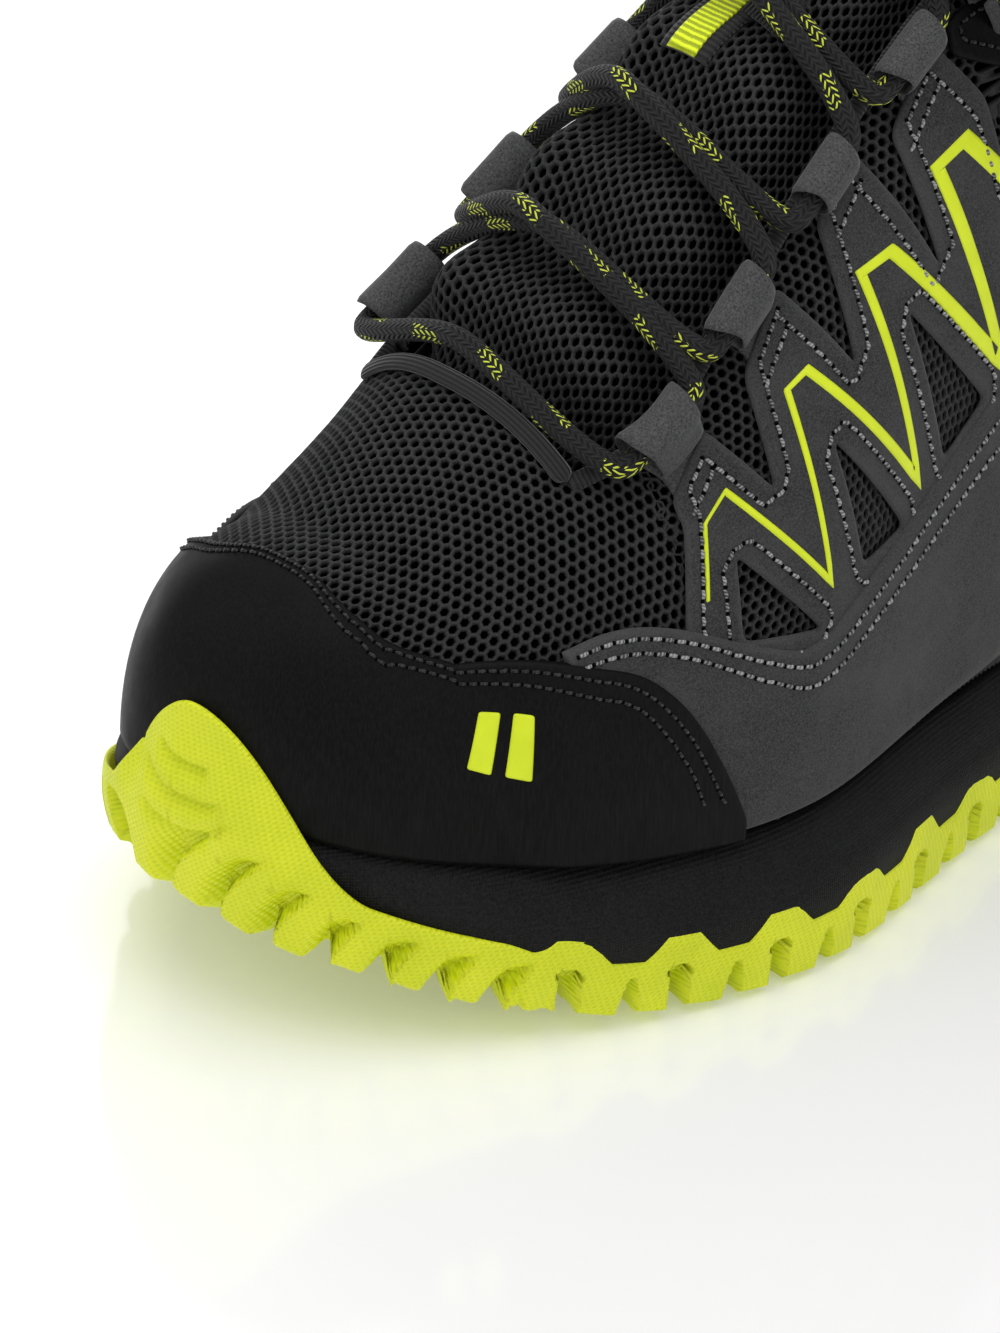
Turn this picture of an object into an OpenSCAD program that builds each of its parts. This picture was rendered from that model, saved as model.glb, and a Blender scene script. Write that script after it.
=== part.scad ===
/* [Size] */
// Overall length of the sole, heel to toe
sole_length = 295; // [286:1:304]
// Widest part of the sole, across the ball of the foot
ball_width = 114; // [108:1:120]
// Width of the sole across the heel
heel_width = 74; // [70:1:80]
// Height of the instep ridge at the front lace row
instep_height = 111; // [106:1:114]

/* [Sole] */
// Height of the line where upper and sole meet, at the ball
feather_height = 28; // [26:0.5:31]
// Height that the toe tip is sprung off the ground
toe_spring = 26; // [22:0.5:28]
// Depth of the tread lugs
lug_depth = 4.5; // [3.5:0.5:5]
// Number of lugs around the edge of the sole
edge_lugs = 64; // [56:2:72]
// Height of the rubber side wall above the ground
wall_height = 13.5; // [12:0.5:15]
// Height of the top of the toe bumper
bumper_height = 60; // [52:1:62]

/* [Upper] */
// Thickness of the mesh fabric
mesh_thick = 2.2; // [1.8:0.1:2.4]
// Thickness of each synthetic leather overlay
overlay_thick = 0.9; // [0.7:0.1:1]
// Half-width of the coloured zigzag line
stripe_half = 1.2; // [0.8:0.1:1.6]
// Thickness of the padding in the tongue
tongue_pad = 5; // [4:0.5:6]

/* [Lacing] */
// Number of lace loops on each side
lace_rows = 5; // [4:1:5]
// Diameter of the round lace
lace_dia = 4.2; // [3.6:0.2:4.4]
// Length of each lace loop along the throat
loop_length = 14; // [11:1:15]
// Bore of each lace loop
loop_bore = 6; // [5.6:0.2:6.4]

/* [Hidden] */

// ---- numbers shared by several pieces -------------------------------------
lx = sole_length / 295;            // stretch of the plan along the shoe
ball = ball_width / 114;           // stretch of the forefoot across the shoe
heel = heel_width / 74;            // stretch of the rearfoot across the shoe
rise = instep_height - 111;        // extra height of the whole instep
turns = 18;                        // the sole outline is a closed curve in 18 spans
toe_span = turns / 2;              // the toe tip lies at this place on the curve
gap = 0.3;                         // clearance between stacked layers
lay = 0.75;                        // clearance between the mesh and an overlay
liner_thick = 0.8;
board_thick = 1.6;
plate_thick = 3;                   // rubber above the lugs
roof = 86;                         // how far up the dome a closed toe runs, in degrees
lace_r = lace_dia / 2;
loop_wall = 1.2;
loop_r = loop_bore / 2 + loop_wall;
loop_lift = lay + overlay_thick + gap + loop_r;  // loop axis above the mesh
knot_r = 6;

upper_black = "#1d1d1f";
upper_grey = "#3b3b3d";
acid_green = "#c6e80f";

// ---- curves ----------------------------------------------------------------
function clamp(x, a, b) = min(max(x, a), b);
function mix(a, b, k) = a + (b - a) * k;
function smooth(x, a, b) = let (u = clamp((x - a) / (b - a), 0, 1)) u * u * (3 - 2 * u);
function unit(v) = v / norm(v);

// A smooth line through keys [[x, y], ...]
function key_span(x, k, i = 0) = (i >= len(k) - 2 || x < k[i + 1][0]) ? i : key_span(x, k, i + 1);
function key_slope(k, i) = let (a = max(i - 1, 0), b = min(i + 1, len(k) - 1))
    (k[b][1] - k[a][1]) / (k[b][0] - k[a][0]);
function curve(x0, k) = let (
        x = clamp(x0, k[0][0], k[len(k) - 1][0]), i = key_span(x, k),
        h = k[i + 1][0] - k[i][0], s = (x - k[i][0]) / h,
        a = key_slope(k, i) * h, b = key_slope(k, i + 1) * h)
    k[i][1] * (2 * pow(s, 3) - 3 * s * s + 1) + a * (pow(s, 3) - 2 * s * s + s)
    + k[i + 1][1] * (3 * s * s - 2 * pow(s, 3)) + b * (pow(s, 3) - s * s);

// A smooth path through points; looped paths close on themselves
function spline(p, t, looped = false) = let (
        n = len(p), i = looped ? floor(t) : clamp(floor(t), 0, n - 2), s = t - i,
        a = looped ? p[(i - 1 + 2 * n) % n] : p[max(i - 1, 0)], b = looped ? p[(i + 2 * n) % n] : p[i],
        c = looped ? p[(i + 1 + 2 * n) % n] : p[i + 1],
        d = looped ? p[(i + 2 + 2 * n) % n] : p[min(i + 2, n - 1)])
    0.5 * (2 * b + (c - a) * s + (2 * a - 5 * b + 4 * c - d) * s * s + (3 * b - a - 3 * c + d) * pow(s, 3));

// ---- plan of the sole: heel, outer side, toe, inner side ----------------------
// y is written for the standard widths and stretched by ball or heel
plan_keys = [for (p = [[0, -1], [9, 24], [38, 36.5], [90, 35.5], [140, 46.5], [190, 59], [232, 53],
    [266, 37],
        [288, 17], [295, -12], [288, -31], [266, -50], [232, -55], [190, -48], [140, -38.5], [90, -35.5],
        [38, -37.5], [9, -25]]) [p[0] * lx, p[1] * mix(heel, ball, smooth(p[0], 60, 200))]];
function plan(t) = spline(plan_keys, t, true);
function plan_out(t) = let (d = unit(plan(t + 0.01) - plan(t - 0.01))) [d[1], -d[0]] * -1;
function plan_in(t, inset) = plan(t) - plan_out(t) * inset;
function along(t) = plan(t)[0] / lx;   // place along the standard shoe

// ---- heights along the standard shoe -----------------------------------------
function tread_z(x) = max(0, curve(x, [[0, 4.5], [12, 1.4], [26, 0], [60, 0], [195, 0], [232, 1.6],
    [262, 8.5], [284, 18.5], [295, toe_spring]]));
function feather_z(x) = feather_height - 28 + curve(x, [[0, 36], [40, 31], [90, 28], [150, 27.5], [200, 28],
    [235, 29.5], [262, 33], [282, 38.5], [295, 43]]);
function ridge_z(x) = rise + curve(x, [[0, 196], [60, 198], [110, 195], [131, 183], [152, 165], [172, 147],
    [192, 129], [212, 111], [235, 96.5], [259, 83]]);
function ridge_y(x) = curve(x,
    [[0, -2], [60, -2], [110, -4], [150, -9], [212, -12], [235, -10], [259, -6]]);
function upper_inset(x) = curve(x,
    [[0, 4], [60, 5], [150, 8.5], [200, 9], [255, 8.5], [280, 5.5], [295, 4.5]]);
outer_roundness = [[0, 2.6], [110, 2.5], [150, 2.3], [212, 2.25], [259, 2.3]];
inner_roundness = [[0, 2.6], [110, 2.8], [150, 3.2], [212, 3], [235, 2.4], [259, 2.3]];

// ---- the upper as a dome ---------------------------------------------------
// t runs round the sole outline; v climbs from the sole (0) to the ridge (90 degrees)
function foot_of(t) = plan_in(t, upper_inset(along(t)));
function ridge_of(t) = let (x = clamp(along(t), 42, 259)) [x * lx, ridge_y(x), ridge_z(x)];
function roundness(t) = let (x = clamp(along(t), 42, 259), k = smooth(foot_of(t)[1] - ridge_y(x), -12, 12))
    mix(curve(x, inner_roundness), curve(x, outer_roundness), k);
function dome_at(f, r, z0, e, v) = [r[0] + (f[0] - r[0]) * pow(cos(v), e),
    r[1] + (f[1] - r[1]) * pow(cos(v), e),
    z0 + (r[2] - z0) * pow(sin(v), e)];
function dome(t, v) =
    dome_at(foot_of(t), ridge_of(t), feather_z(along(t)), 2 / roundness(t), clamp(v, 0, 90));
function dome_out(t, v) = let (w = clamp(v, 1, 89))
    unit(cross(dome(t, w + 1) - dome(t, w - 1), dome(t + 0.05, w) - dome(t - 0.05, w)));
function dome_up(t, v) = unit(dome(t, min(v + 1, 90)) - dome(t, min(v + 1, 90) - 2));
function on_dome(t, v, lift) = dome(t, v) + dome_out(t, v) * lift;

// The same height of v on both sides of the shoe: t is folded to 0 (heel) .. 9 (toe)
function fold(t) = let (u = (t + 2 * turns) % turns) min(u, turns - u);
// Top line: collar from the heel, up to the top lace row, then along the throat
function rim(t) = curve(fold(t), [[0, 29], [1, 27.5], [2, 23.5], [2.6, 24], [3, 27.5], [3.35, 38],
    [3.6, 51],
    [3.8, 59], [4.15, 61], [5, 59], [5.5, 56], [5.95, 60]]);
throat_end = 5.95;
collar_end = 3.66;
function row_t(i) = 5.48 - 0.47 * i + 0.01 * i * i;

// ---- solids from rows of points ------------------------------------------------
// rows: equal lists of points. Ends are capped; closed joins the last row to the
// first; roofed bridges the first and the last row across the shoe instead.
module skin(rows, ring = false, roofed = false) {
    r = len(rows);
    n = len(rows[0]);
    points = [for (row = rows) for (p = row) p];
    // the two faces of a layer are split along the same diagonals
    quads = concat(
        [for (i = [0 : roofed ? r - 2 : r - 1], j = [0 : ring ? n - 1 : n - 2])
            let (k = (i + 1) % r, m = (j + 1) % n, q = [i * n + j, i * n + m, k * n + m, k * n + j])
            2 * i < r - 1 ? q : [q[1], q[2], q[3], q[0]]],
        ring ? [] : [for (i = [0 : r / 2 - 2]) [i * n, (i + 1) * n, (r - 2 - i) * n, (r - 1 - i) * n]],
        ring ? [] : [for (i = [0 : r / 2 - 2])
            [(i + 1) * n - 1, (r - i) * n - 1, (r - 1 - i) * n - 1, (i + 2) * n - 1]],
        !roofed ? [] : concat(bridge(0, n, ring, false), bridge((r - 1) * n, n, ring, true)),
        !roofed || ring ? [] : [[0, (r - 1) * n, r * n - 1, n - 1]]);
    faces = [for (q = quads, f = [[q[0], q[1], q[2]], [q[0], q[2], q[3]]])
        if (f[0] != f[1] && f[1] != f[2] && f[0] != f[2]) f];
    polyhedron(points = points, faces = faces, convexity = 8);
}
function bridge(base, n, ring, flip) = [for (j = [0 : ceil(n / 2) - 1]) let (
        a = base + j, b = base + j + 1,
        c = base + (ring ? (n - j - 1) % n : n - 2 - j), d = base + (ring ? (n - j) % n : n - 1 - j))
    if (ring || j < n / 2 - 1) flip ? [a, b, c, d] : [a, d, c, b]];

// A layer of the upper between two lifts off the dome. lo, hi: functions of t.
// low, high: the lift of the inner and the outer face, as functions of (t, v).
module layer(t0, t1, nt, lo, hi, nv, low, high, roofed = false) {
    ts = [for (i = [0 : nt]) mix(t0, t1, i / nt)];
    inner = [for (j = [nv : -1 : 0])
        [for (t = ts) let (v = mix(lo(t), hi(t), j / nv)) on_dome(t, v, low(t, v))]];
    outer = [for (j = [0 : nv])
        [for (t = ts) let (v = mix(lo(t), hi(t), j / nv)) on_dome(t, v, high(t, v))]];
    skin(concat(inner, outer), roofed = roofed);
}
// The same, for a piece that bridges the throat from side to side
module saddle(t0, t1, nt, lo, nv, low, high) {
    function spot(t, j) = let (side = j <= nv ? t : turns - t, u = 1 - abs(j - nv) / nv)
        [side, mix(lo(t), 90, u)];
    function face(t, lift) = [for (j = [0 : 2 * nv]) let (s = spot(t, j)) on_saddle(t, s, lift(t, s[1]))];
    ts = [for (i = [0 : nt]) mix(t0, t1, i / nt)];
    skin(concat([for (i = [0 : nt]) face(ts[i], high)], [for (i = [nt : -1 : 0]) face(ts[i], low)]));
}
// At the ridge both sides share one direction, so the two halves meet
function on_saddle(t, s, lift) = let (k = smooth(s[1], 70, 90), w = min(s[1], 89),
        ridge = unit(dome_out(t, 89) + dome_out(turns - t, 89)))
    dome(s[0], s[1]) + unit(mix(dome_out(s[0], w), ridge, k)) * lift;

// A strap laid along a path of [t, v] places, half-width w in mm
module strap(path, w, low, high, steps = 4) {
    n = (len(path) - 1) * steps;
    mids = [for (i = [0 : n]) let (k = min(floor(i / steps), len(path) - 2), s = (i - k * steps) / steps)
        mix(path[k], path[k + 1], s)];
    function edge(i, side, lift) = let (
            p = on_dome(mids[i][0], mids[i][1], lift),
            a = on_dome(mids[max(i - 1, 0)][0], mids[max(i - 1, 0)][1], lift),
            b = on_dome(mids[min(i + 1, n)][0], mids[min(i + 1, n)][1], lift),
            d1 = i == 0 ? unit(b - p) : unit(p - a), d2 = i == n ? d1 : unit(b - p),
            out = dome_out(mids[i][0], mids[i][1]), m = unit(d1 + d2),
            wide = 1 / max(norm(d1 + d2) / 2, 0.6))
        p + unit(cross(out, m)) * side * w * wide;
    skin([for (r = [[-1, low], [-1, high], [1, high], [1, low]]) [for (i = [0 : n]) edge(i, r[0], r[1])]]);
}

// A round cord along a list of points
module cord(path, r, sides = 6) {
    n = len(path) - 1;
    dirs = [for (i = [0 : n]) unit(path[min(i + 1, n)] - path[max(i - 1, 0)])];
    rows = [for (k = [0 : sides - 1]) [for (i = [0 : n]) let (
            s = unit(cross(dirs[i], abs(dirs[i][2]) > 0.9 ? [1, 0, 0] : [0, 0, 1])), u = cross(s, dirs[i]),
            a = 360 * k / sides) path[i] + r * (cos(a) * s + sin(a) * u)]];
    skin(rows);
}
function smooth_path(p, steps) = [for (i = [0 : (len(p) - 1) * steps]) spline(p, i / steps)];

// ---- sole ------------------------------------------------------------------
function in_bumper(t) = smooth(t, 7.4, 8.65) * (1 - smooth(t, 8.65, 9.55));
function wall_z(t) = mix(tread_z(along(t)) + wall_height, bumper_height, in_bumper(t));
function ring_row(n, at) = [for (i = [0 : n - 1])
    let (t = turns * i / n, p = at(t, i), q = plan_in(t, p[0])) [q[0], q[1], p[1]]];
plate_z = lug_depth + plate_thick;
lug_run = 13;                                      // how far the edge lugs reach in under the sole
bumper_lean = 1.6;                                 // how far the bumper's top leans back

module outsole() {
    n = edge_lugs * 4;
    land = 0.3;                                    // gaps stop just short of the plate
    function up(i) = (i % 4 == 1 || i % 4 == 2) ? 0 : 1;
    function base(t) = tread_z(along(t));
    function under(t, inset) = tread_z(plan_in(t, inset)[0] / lx);
    color(acid_green) skin([
        ring_row(n, function (t, i) [lug_run, under(t, lug_run) + lug_depth]),
        ring_row(n, function (t, i) [lug_run, under(t, lug_run) + up(i) * (lug_depth - land)]),
        ring_row(n, function (t, i) [3, under(t, 3) + up(i) * (lug_depth - land)]),
        ring_row(n, function (t, i) [0.6, base(t) + 3 + up(i) * 3]),
        ring_row(n, function (t, i) [0, mix(base(t) + 6, wall_z(t), 0.6)]),
        ring_row(n, function (t, i) [bumper_lean * in_bumper(t), wall_z(t)]),
        ring_row(n, function (t, i) [2.2 + 0.5 * in_bumper(t), wall_z(t)]),
        ring_row(n, function (t, i) [2.8, base(t) + plate_z])], ring = true, roofed = true);
}

// Chevron lugs under the middle of the sole; their flat faces carry the shoe
module chevron(w, d, h) {
    linear_extrude(h) polygon([[-d, -w], [0, 0], [-d, w], [d * 0.6, w], [d * 1.6, 0], [d * 0.6, -w]]);
}
chevron_deep = 5.5;                                // front to back
first_lug = 34;
lug_step = 17.5;
function middle(x) = (plan(fold_at(x))[1] + plan(turns - fold_at(x))[1]) / 2;
function half_width(x) = (plan(fold_at(x))[1] - plan(turns - fold_at(x))[1]) / 2;
module centre_lugs() {
    color(acid_green)
        for (x = [first_lug : lug_step : 226]) {
            wide = half_width(x) - 19;
            back = x - chevron_deep;
            slope = atan2(tread_z(x + chevron_deep) - tread_z(back), 2 * chevron_deep);
            translate([x * lx, middle(x), tread_z(back) + chevron_deep * sin(slope)])
                rotate([0, -slope, 0]) chevron(wide, chevron_deep, lug_depth - 0.4);
        }
}
// The place on the outer side of the plan at x along the standard shoe
function fold_at(x) = curve(x,
    [[0, 0], [9, 1], [38, 2], [90, 3], [140, 4], [190, 5], [232, 6], [266, 7], [288, 8]]);

ledge = 5.2;                                       // ledge on which the upper stands
cup_depth = 5;
function cup_edge(t) = upper_inset(along(t)) + ledge + 1;
function cup_floor(t, inset) = feather_z(plan_in(t, inset)[0] / lx) - gap - cup_depth;
module midsole() {
    n = 88;
    function low(t) = tread_z(along(t)) + plate_z + gap;
    function step_z(t) = min(wall_z(t) + gap, feather_z(along(t)) - 3.5);
    function side(t) = mix(0.3, 3.5, smooth(wall_z(t), feather_z(along(t)) - 14, feather_z(along(t)) - 6));
    function inset(t) = upper_inset(along(t));
    function top(t) = feather_z(along(t)) - gap;
    color(upper_black) skin([
        ring_row(n, function (t, i) [3.6, low(t)]),
        ring_row(n, function (t, i) [max(2.6, side(t) + 0.05), step_z(t)]),
        ring_row(n, function (t, i) [side(t), step_z(t) + 0.2]),
        ring_row(n, function (t, i) [mix(side(t), inset(t), 0.15), top(t) - 2.8]),
        ring_row(n, function (t, i) [mix(side(t), inset(t), 0.75), top(t)]),
        ring_row(n, function (t, i) [inset(t) + ledge, top(t)]),
        ring_row(n, function (t, i) [cup_edge(t), cup_floor(t, cup_edge(t))])], ring = true, roofed = true);
}

// A slab that fills the sole cup between two heights above the cup's floor
module cup_slab(z0, z1, edge_lift, pinch) {
    n = 60;
    function spot(t, inset, z) = let (e = cup_edge(t) + gap + pinch + inset) [e, cup_floor(t, e) + z];
    skin([
        ring_row(n, function (t, i) spot(t, 0, z0)),
        ring_row(n, function (t, i) spot(t, 0, z1 + edge_lift)),
        ring_row(n, function (t, i) spot(t, 2, z1 + edge_lift)),
        ring_row(n, function (t, i) spot(t, 9, z1))], ring = true, roofed = true);
}
module insole_board() {
    color("#c9bfa6") cup_slab(gap, gap + board_thick, 0.01, 0);
}
module footbed() {
    color("#2b2b2e") cup_slab(3 * gap + board_thick, 3 * gap + board_thick + 4, 3, 0.4);
}

// ---- upper -------------------------------------------------------------------
function flat(v) = function (t) v;
function lift(v) = function (t, w) v;
module vamp() {
    color(upper_black) layer(throat_end, turns - throat_end, 30, flat(0), flat(roof), 8,
        lift(-mesh_thick), lift(0), roofed = true);
}
module quarter(t0, t1) {
    color(upper_black) layer(t0, t1, 24, flat(0), function (t) rim(t), 6, lift(-mesh_thick), lift(0));
}
seam = 0.006;                                      // half the gap at a butted seam, in spans
module quarter_lateral() { quarter(seam, throat_end - seam); }
module quarter_medial() { quarter(turns - throat_end + seam, turns - seam); }

puff_thick = 1;
puff_in = -mesh_thick - gap;
lining_out = puff_in - puff_thick - gap;
lining_front = collar_end + seam;
// The fabric that lines the forefoot, closed over the toes, open along the throat
module vamp_lining() {
    color("#26262a") {
        layer(throat_end + seam, turns - throat_end - seam, 26, flat(0.2), flat(roof), 6,
            lift(lining_out - liner_thick), lift(lining_out), roofed = true);
        for (m = [0, 1])
            layer(m ? turns - throat_end + seam : lining_front,
                m ? turns - lining_front : throat_end - seam,
                8, flat(0.2), function (t) rim(t) - 1, 5, lift(lining_out - liner_thick), lift(lining_out));
    }
}
puff_back = 6.6;                                   // where each side of the toe puff ends
module toe_puff() {
    color("#8b8378") layer(puff_back, turns - puff_back, 24, flat(1),
        function (t) 14 + 32 * sin(180 * (t - puff_back) / (turns - 2 * puff_back)),
        4, lift(puff_in - puff_thick), lift(puff_in));
}

counter_thick = 1.6;
counter_in = -mesh_thick - gap;
foam_out = counter_in - counter_thick - gap;
collar_pad = 5;
function pad_at(v, top) = mix(0.6, collar_pad, smooth(v, 5, 13)) * mix(1, 0.55, smooth(v, top - 5, top));
module heel_counter() {
    color("#6d6a64") layer(-2.2, 2.2, 24, flat(0.4), function (t) 15 - 5 * pow(abs(t) / 2.2, 2), 4,
        lift(counter_in - counter_thick), lift(counter_in));
}
module collar_foam() {
    color("#4a4a4d") layer(-collar_end, collar_end, 30, flat(0.3), function (t) rim(t) - 0.8, 6,
        function (t, v) foam_out - pad_at(v, rim(t)), lift(foam_out));
}
module collar_lining() {
    color("#202023") layer(-collar_end, collar_end, 30, flat(0.3), function (t) rim(t) - 0.8, 6,
        function (t, v) foam_out - pad_at(v, rim(t)) - gap - liner_thick,
        function (t, v) foam_out - pad_at(v, rim(t)) - gap);
}
binding_r = 2.6;
module collar_binding() {
    n = 44;
    color(upper_black) cord([for (i = [0 : n]) let (t = mix(-collar_end + 0.05, collar_end - 0.05, i / n))
        on_dome(t, rim(t), -4.2) + dome_up(t, rim(t)) * (binding_r + 1)], binding_r);
}

// ---- overlays ------------------------------------------------------------------
cap_keys = [[5.42, 2], [5.56, 10], [5.72, 19], [5.9, 26], [6.13, 31], [6.42, 37], [6.78, 43],
    [7.2, 49], [7.44, 56], [7.92, 68], [8.72, 72], [9.5, 68], [10.27, 58],
    [10.8, 47], [11.4, 39], [11.9, 31], [12.3, 19], [12.58, 2]];
function cap_top(t) = curve(t, cap_keys);
module toe_cap() {
    color("#161617") layer(5.42, 12.58, 36, flat(0.1), function (t) cap_top(t), 5,
        lift(lay), lift(lay + overlay_thick));
}
mark_lift = lay + overlay_thick + gap;
module toe_mark() {
    color(acid_green) for (k = [0, 1])
        strap([[6.52 + 0.17 * k, 17], [6.6 + 0.17 * k, 29 - k]], 2.2, mark_lift, mark_lift + 0.4, 3);
}

guard_low = lay + overlay_thick + gap;
guard_front = 6.25;
guard_back = 1.3;
function guard_top(t) = curve(fold(t), [[1.3, 7], [2, 12], [3, 19], [3.76, 20], [4.61, 18],
    [5.04, 17], [5.3, 21], [5.65, 29], [5.86, 33], [6.05, 35], [6.25, 35.5]]);
function guard_foot(t) = let (u = t > toe_span ? t - 0.04 : t + 0.04) max(cap_top(t), cap_top(u), 0) + 1.5;
module mudguard(side) {
    color(upper_grey) layer(side ? turns - guard_front : guard_back,
        side ? turns - guard_back : guard_front, 40,
        function (t) let (f = fold(t)) f > 5.38 ? min(guard_foot(t), guard_top(t) - 1) : 0.1,
        function (t) guard_top(t), 3, lift(guard_low), lift(guard_low + overlay_thick));
}
module mudguard_lateral() { mudguard(0); }
module mudguard_medial() { mudguard(1); }

// Grey band of the side: a finger up to each of the front four lace loops, a notch behind it
fingers = 4;
notch_v = 37;
function finger_v(i) = 46 + 2.5 * i;
band_top = concat([[5.67, 26]],
    [for (i = [0 : fingers - 1]) each [[row_t(i) + 0.04, finger_v(i)], [row_t(i) - 0.16, finger_v(i) + 2],
        [row_t(i) - (i < fingers - 1 ? 0.39 : 0.3), notch_v]]],
    [[3.7, 33], [3.2, 20]]);
function band_hi(t) = lookup(t, band_top);
function band_lo(t) = max(12, cap_top(t) + 3);
module strap_overlay(side) {
    color(upper_grey) layer(side ? turns - 5.66 : 3.2, side ? turns - 3.2 : 5.66, 49,
        function (t) band_lo(fold(t)), function (t) band_hi(fold(t)), 5,
        lift(lay), lift(lay + overlay_thick));
}
module strap_overlay_lateral() { strap_overlay(0); }
module strap_overlay_medial() { strap_overlay(1); }

// Zigzag line on the band: flat-topped peaks on the fingers, valleys under the notches
function mirror_t(path) = [for (p = path) [turns - p[0], p[1]]];
stripe_path = concat([[5.51, 30]],
    [for (i = [0 : fingers - 1]) each [[row_t(i) - 0.06, 40 + i], [row_t(i) - 0.18, 41.5 + i],
        if (i < fingers - 1) [row_t(i) - 0.66, 24]]],
    [[3.52, 28]]);
stripe_lift = lay + overlay_thick + 0.6;
module stripe(side) {
    color(acid_green) strap(side ? mirror_t(stripe_path) : stripe_path, stripe_half,
        stripe_lift, stripe_lift + 0.4);
}
module stripe_lateral() { stripe(0); }
module stripe_medial() { stripe(1); }

module ankle_patch(side) {
    color("#141416") layer(side ? turns - 3.78 : 3.05, side ? turns - 3.05 : 3.78, 8,
        function (t) max(rim(t) * 0.72, band_hi(fold(t)) + 1.5), function (t) rim(t) - 3, 3,
        lift(lay), lift(lay + overlay_thick));
}
module ankle_patch_lateral() { ankle_patch(0); }
module ankle_patch_medial() { ankle_patch(1); }
module backstay() {
    color(upper_grey) layer(-1.2, 1.2, 12, flat(0.1), function (t) rim(t) - 1.5, 6,
        lift(lay), lift(lay + overlay_thick));
}

// ---- tongue ------------------------------------------------------------------
tongue_top = 3.42;
tongue_foot = 6.05;
tongue_low = -mesh_thick - gap - puff_thick - gap - liner_thick - 4 * gap;   // below the lining
tongue_dip = 7.5;                                  // how far its front end dives under the vamp
cover_thick = 1.2;
function tongue_edge(t) = mix(68, rim(t) - 14, smooth(t, 3.74, 4.05));
function tongue_crown(t, v) = mix(tongue_low, 1.2, smooth(v, min(rim(t), 64) - 1, 80))
    - tongue_dip * smooth(t, 5.5, 5.9) + 3 * (1 - smooth(t, 3.42, 3.8));
function pad_crown(t, v) = mix(1, tongue_pad, smooth(v, tongue_edge(t), tongue_edge(t) + 18));
module tongue_layer(low, high) {
    saddle(tongue_top, tongue_foot, 12, function (t) tongue_edge(t), 5, low, high);
}
module tongue_cover() {
    color(upper_black) tongue_layer(function (t, v) tongue_crown(t, v) - cover_thick,
        function (t, v) tongue_crown(t, v));
}
module tongue_foam() {
    color("#55555a") tongue_layer(function (t, v) tongue_crown(t, v) - cover_thick - gap - pad_crown(t, v),
        function (t, v) tongue_crown(t, v) - cover_thick - gap);
}
module tongue_lining() {
    color("#26262a") tongue_layer(
        function (t, v) tongue_crown(t, v) - cover_thick - 2 * gap - pad_crown(t, v) - liner_thick,
        function (t, v) tongue_crown(t, v) - cover_thick - 2 * gap - pad_crown(t, v));
}
module throat_binding() {
    color("#2c2c2e") saddle(5.97, 6.07, 2, flat(60), 8, lift(lay), lift(lay + 1));
}
module lace_keeper() {
    color(acid_green) saddle(row_t(2.62), row_t(2.38), 2, flat(80), 3,
        function (t, v) tongue_crown(t, v) + gap, function (t, v) tongue_crown(t, v) + gap + 0.7);
}

// ---- lacing ------------------------------------------------------------------
function loop_spot(i, side) = let (t = side ? turns - row_t(i) : row_t(i))
    on_dome(t, rim(t) - 1, loop_lift);
function loop_dir(i, side) = let (t = side ? turns - row_t(i) : row_t(i), s = side ? 0.1 : -0.1)
    unit(on_dome(t + s, rim(t + s) - 1, loop_lift) - on_dome(t - s, rim(t - s) - 1, loop_lift));
module point_along(d) {
    rotate([0, acos(d[2]), atan2(d[1], d[0])]) children();
}
module lace_loops(side) {
    color(upper_grey) for (i = [0 : lace_rows - 1])
        translate(loop_spot(i, side)) point_along(loop_dir(i, side)) difference() {
            cylinder(r = loop_r, h = loop_length, center = true, $fn = 32);
            cylinder(r = loop_bore / 2, h = loop_length + 2, center = true, $fn = 32);
        }
}
module lace_loops_lateral() { lace_loops(0); }
module lace_loops_medial() { lace_loops(1); }

exit_run = 1;                                      // straight lace beyond each end of a loop
handle = 6;                                        // stiffness of the lace where it leaves a loop
function loop_end(i, side, s) = loop_spot(i, side) + loop_dir(i, side) * s * (loop_length / 2 + exit_run);
// A place over the tongue; share runs from the inner side (-1) over the ridge (0) to the outer side (1)
function over_tongue(t, share, h) = let (s = share >= 0 ? t : turns - t)
    on_saddle(s, [s, 90 - 32 * abs(share)], h);
function bend(p0, d0, p1, d1, n = 5) = [for (k = [1 : n - 1]) let (u = k / n, w = 1 - u)
    pow(w, 3) * p0 + 3 * w * w * u * (p0 + d0) + 3 * w * u * u * (p1 - d1) + pow(u, 3) * p1];
function crossing(i, side, h) = let (
        a = loop_end(i, side, 1), b = loop_end(i + 1, 1 - side, -1),
        m = over_tongue((row_t(i) + row_t(i + 1)) / 2, 0, h), dm = unit(b - a) * 1.6 * handle,
        da = loop_dir(i, side) * handle, db = loop_dir(i + 1, 1 - side) * handle)
    concat(bend(a, da, m, dm), [m], bend(m, dm, b, db));
function through(i, side) = [loop_end(i, side, -1), loop_end(i, side, 1)];
over = 11.2;                                       // height of the upper lace where two cross
below = 6.7;                                       // and of the lower one
function lace_run(side) = [for (i = [0 : lace_rows - 1]) let (s = (i + side) % 2)
    each concat(through(i, s),
        i < lace_rows - 1 ? crossing(i, s, side == (i % 2) ? over : below) : to_knot(s))];
knot_t = row_t(lace_rows - 1) + 0.02;
knot_at = over_tongue(knot_t, 0, knot_r + 3);
function to_knot(side) = let (last = lace_rows - 1, a = loop_end(last, side, 1),
        m = over_tongue(knot_t, side == 0 ? 0.5 : -0.5, 7.5), dm = unit(knot_at - a) * handle)
    concat(bend(a, loop_dir(last, side) * 2.4 * handle, m, dm), [m], bend(m, dm, knot_at, dm));
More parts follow.
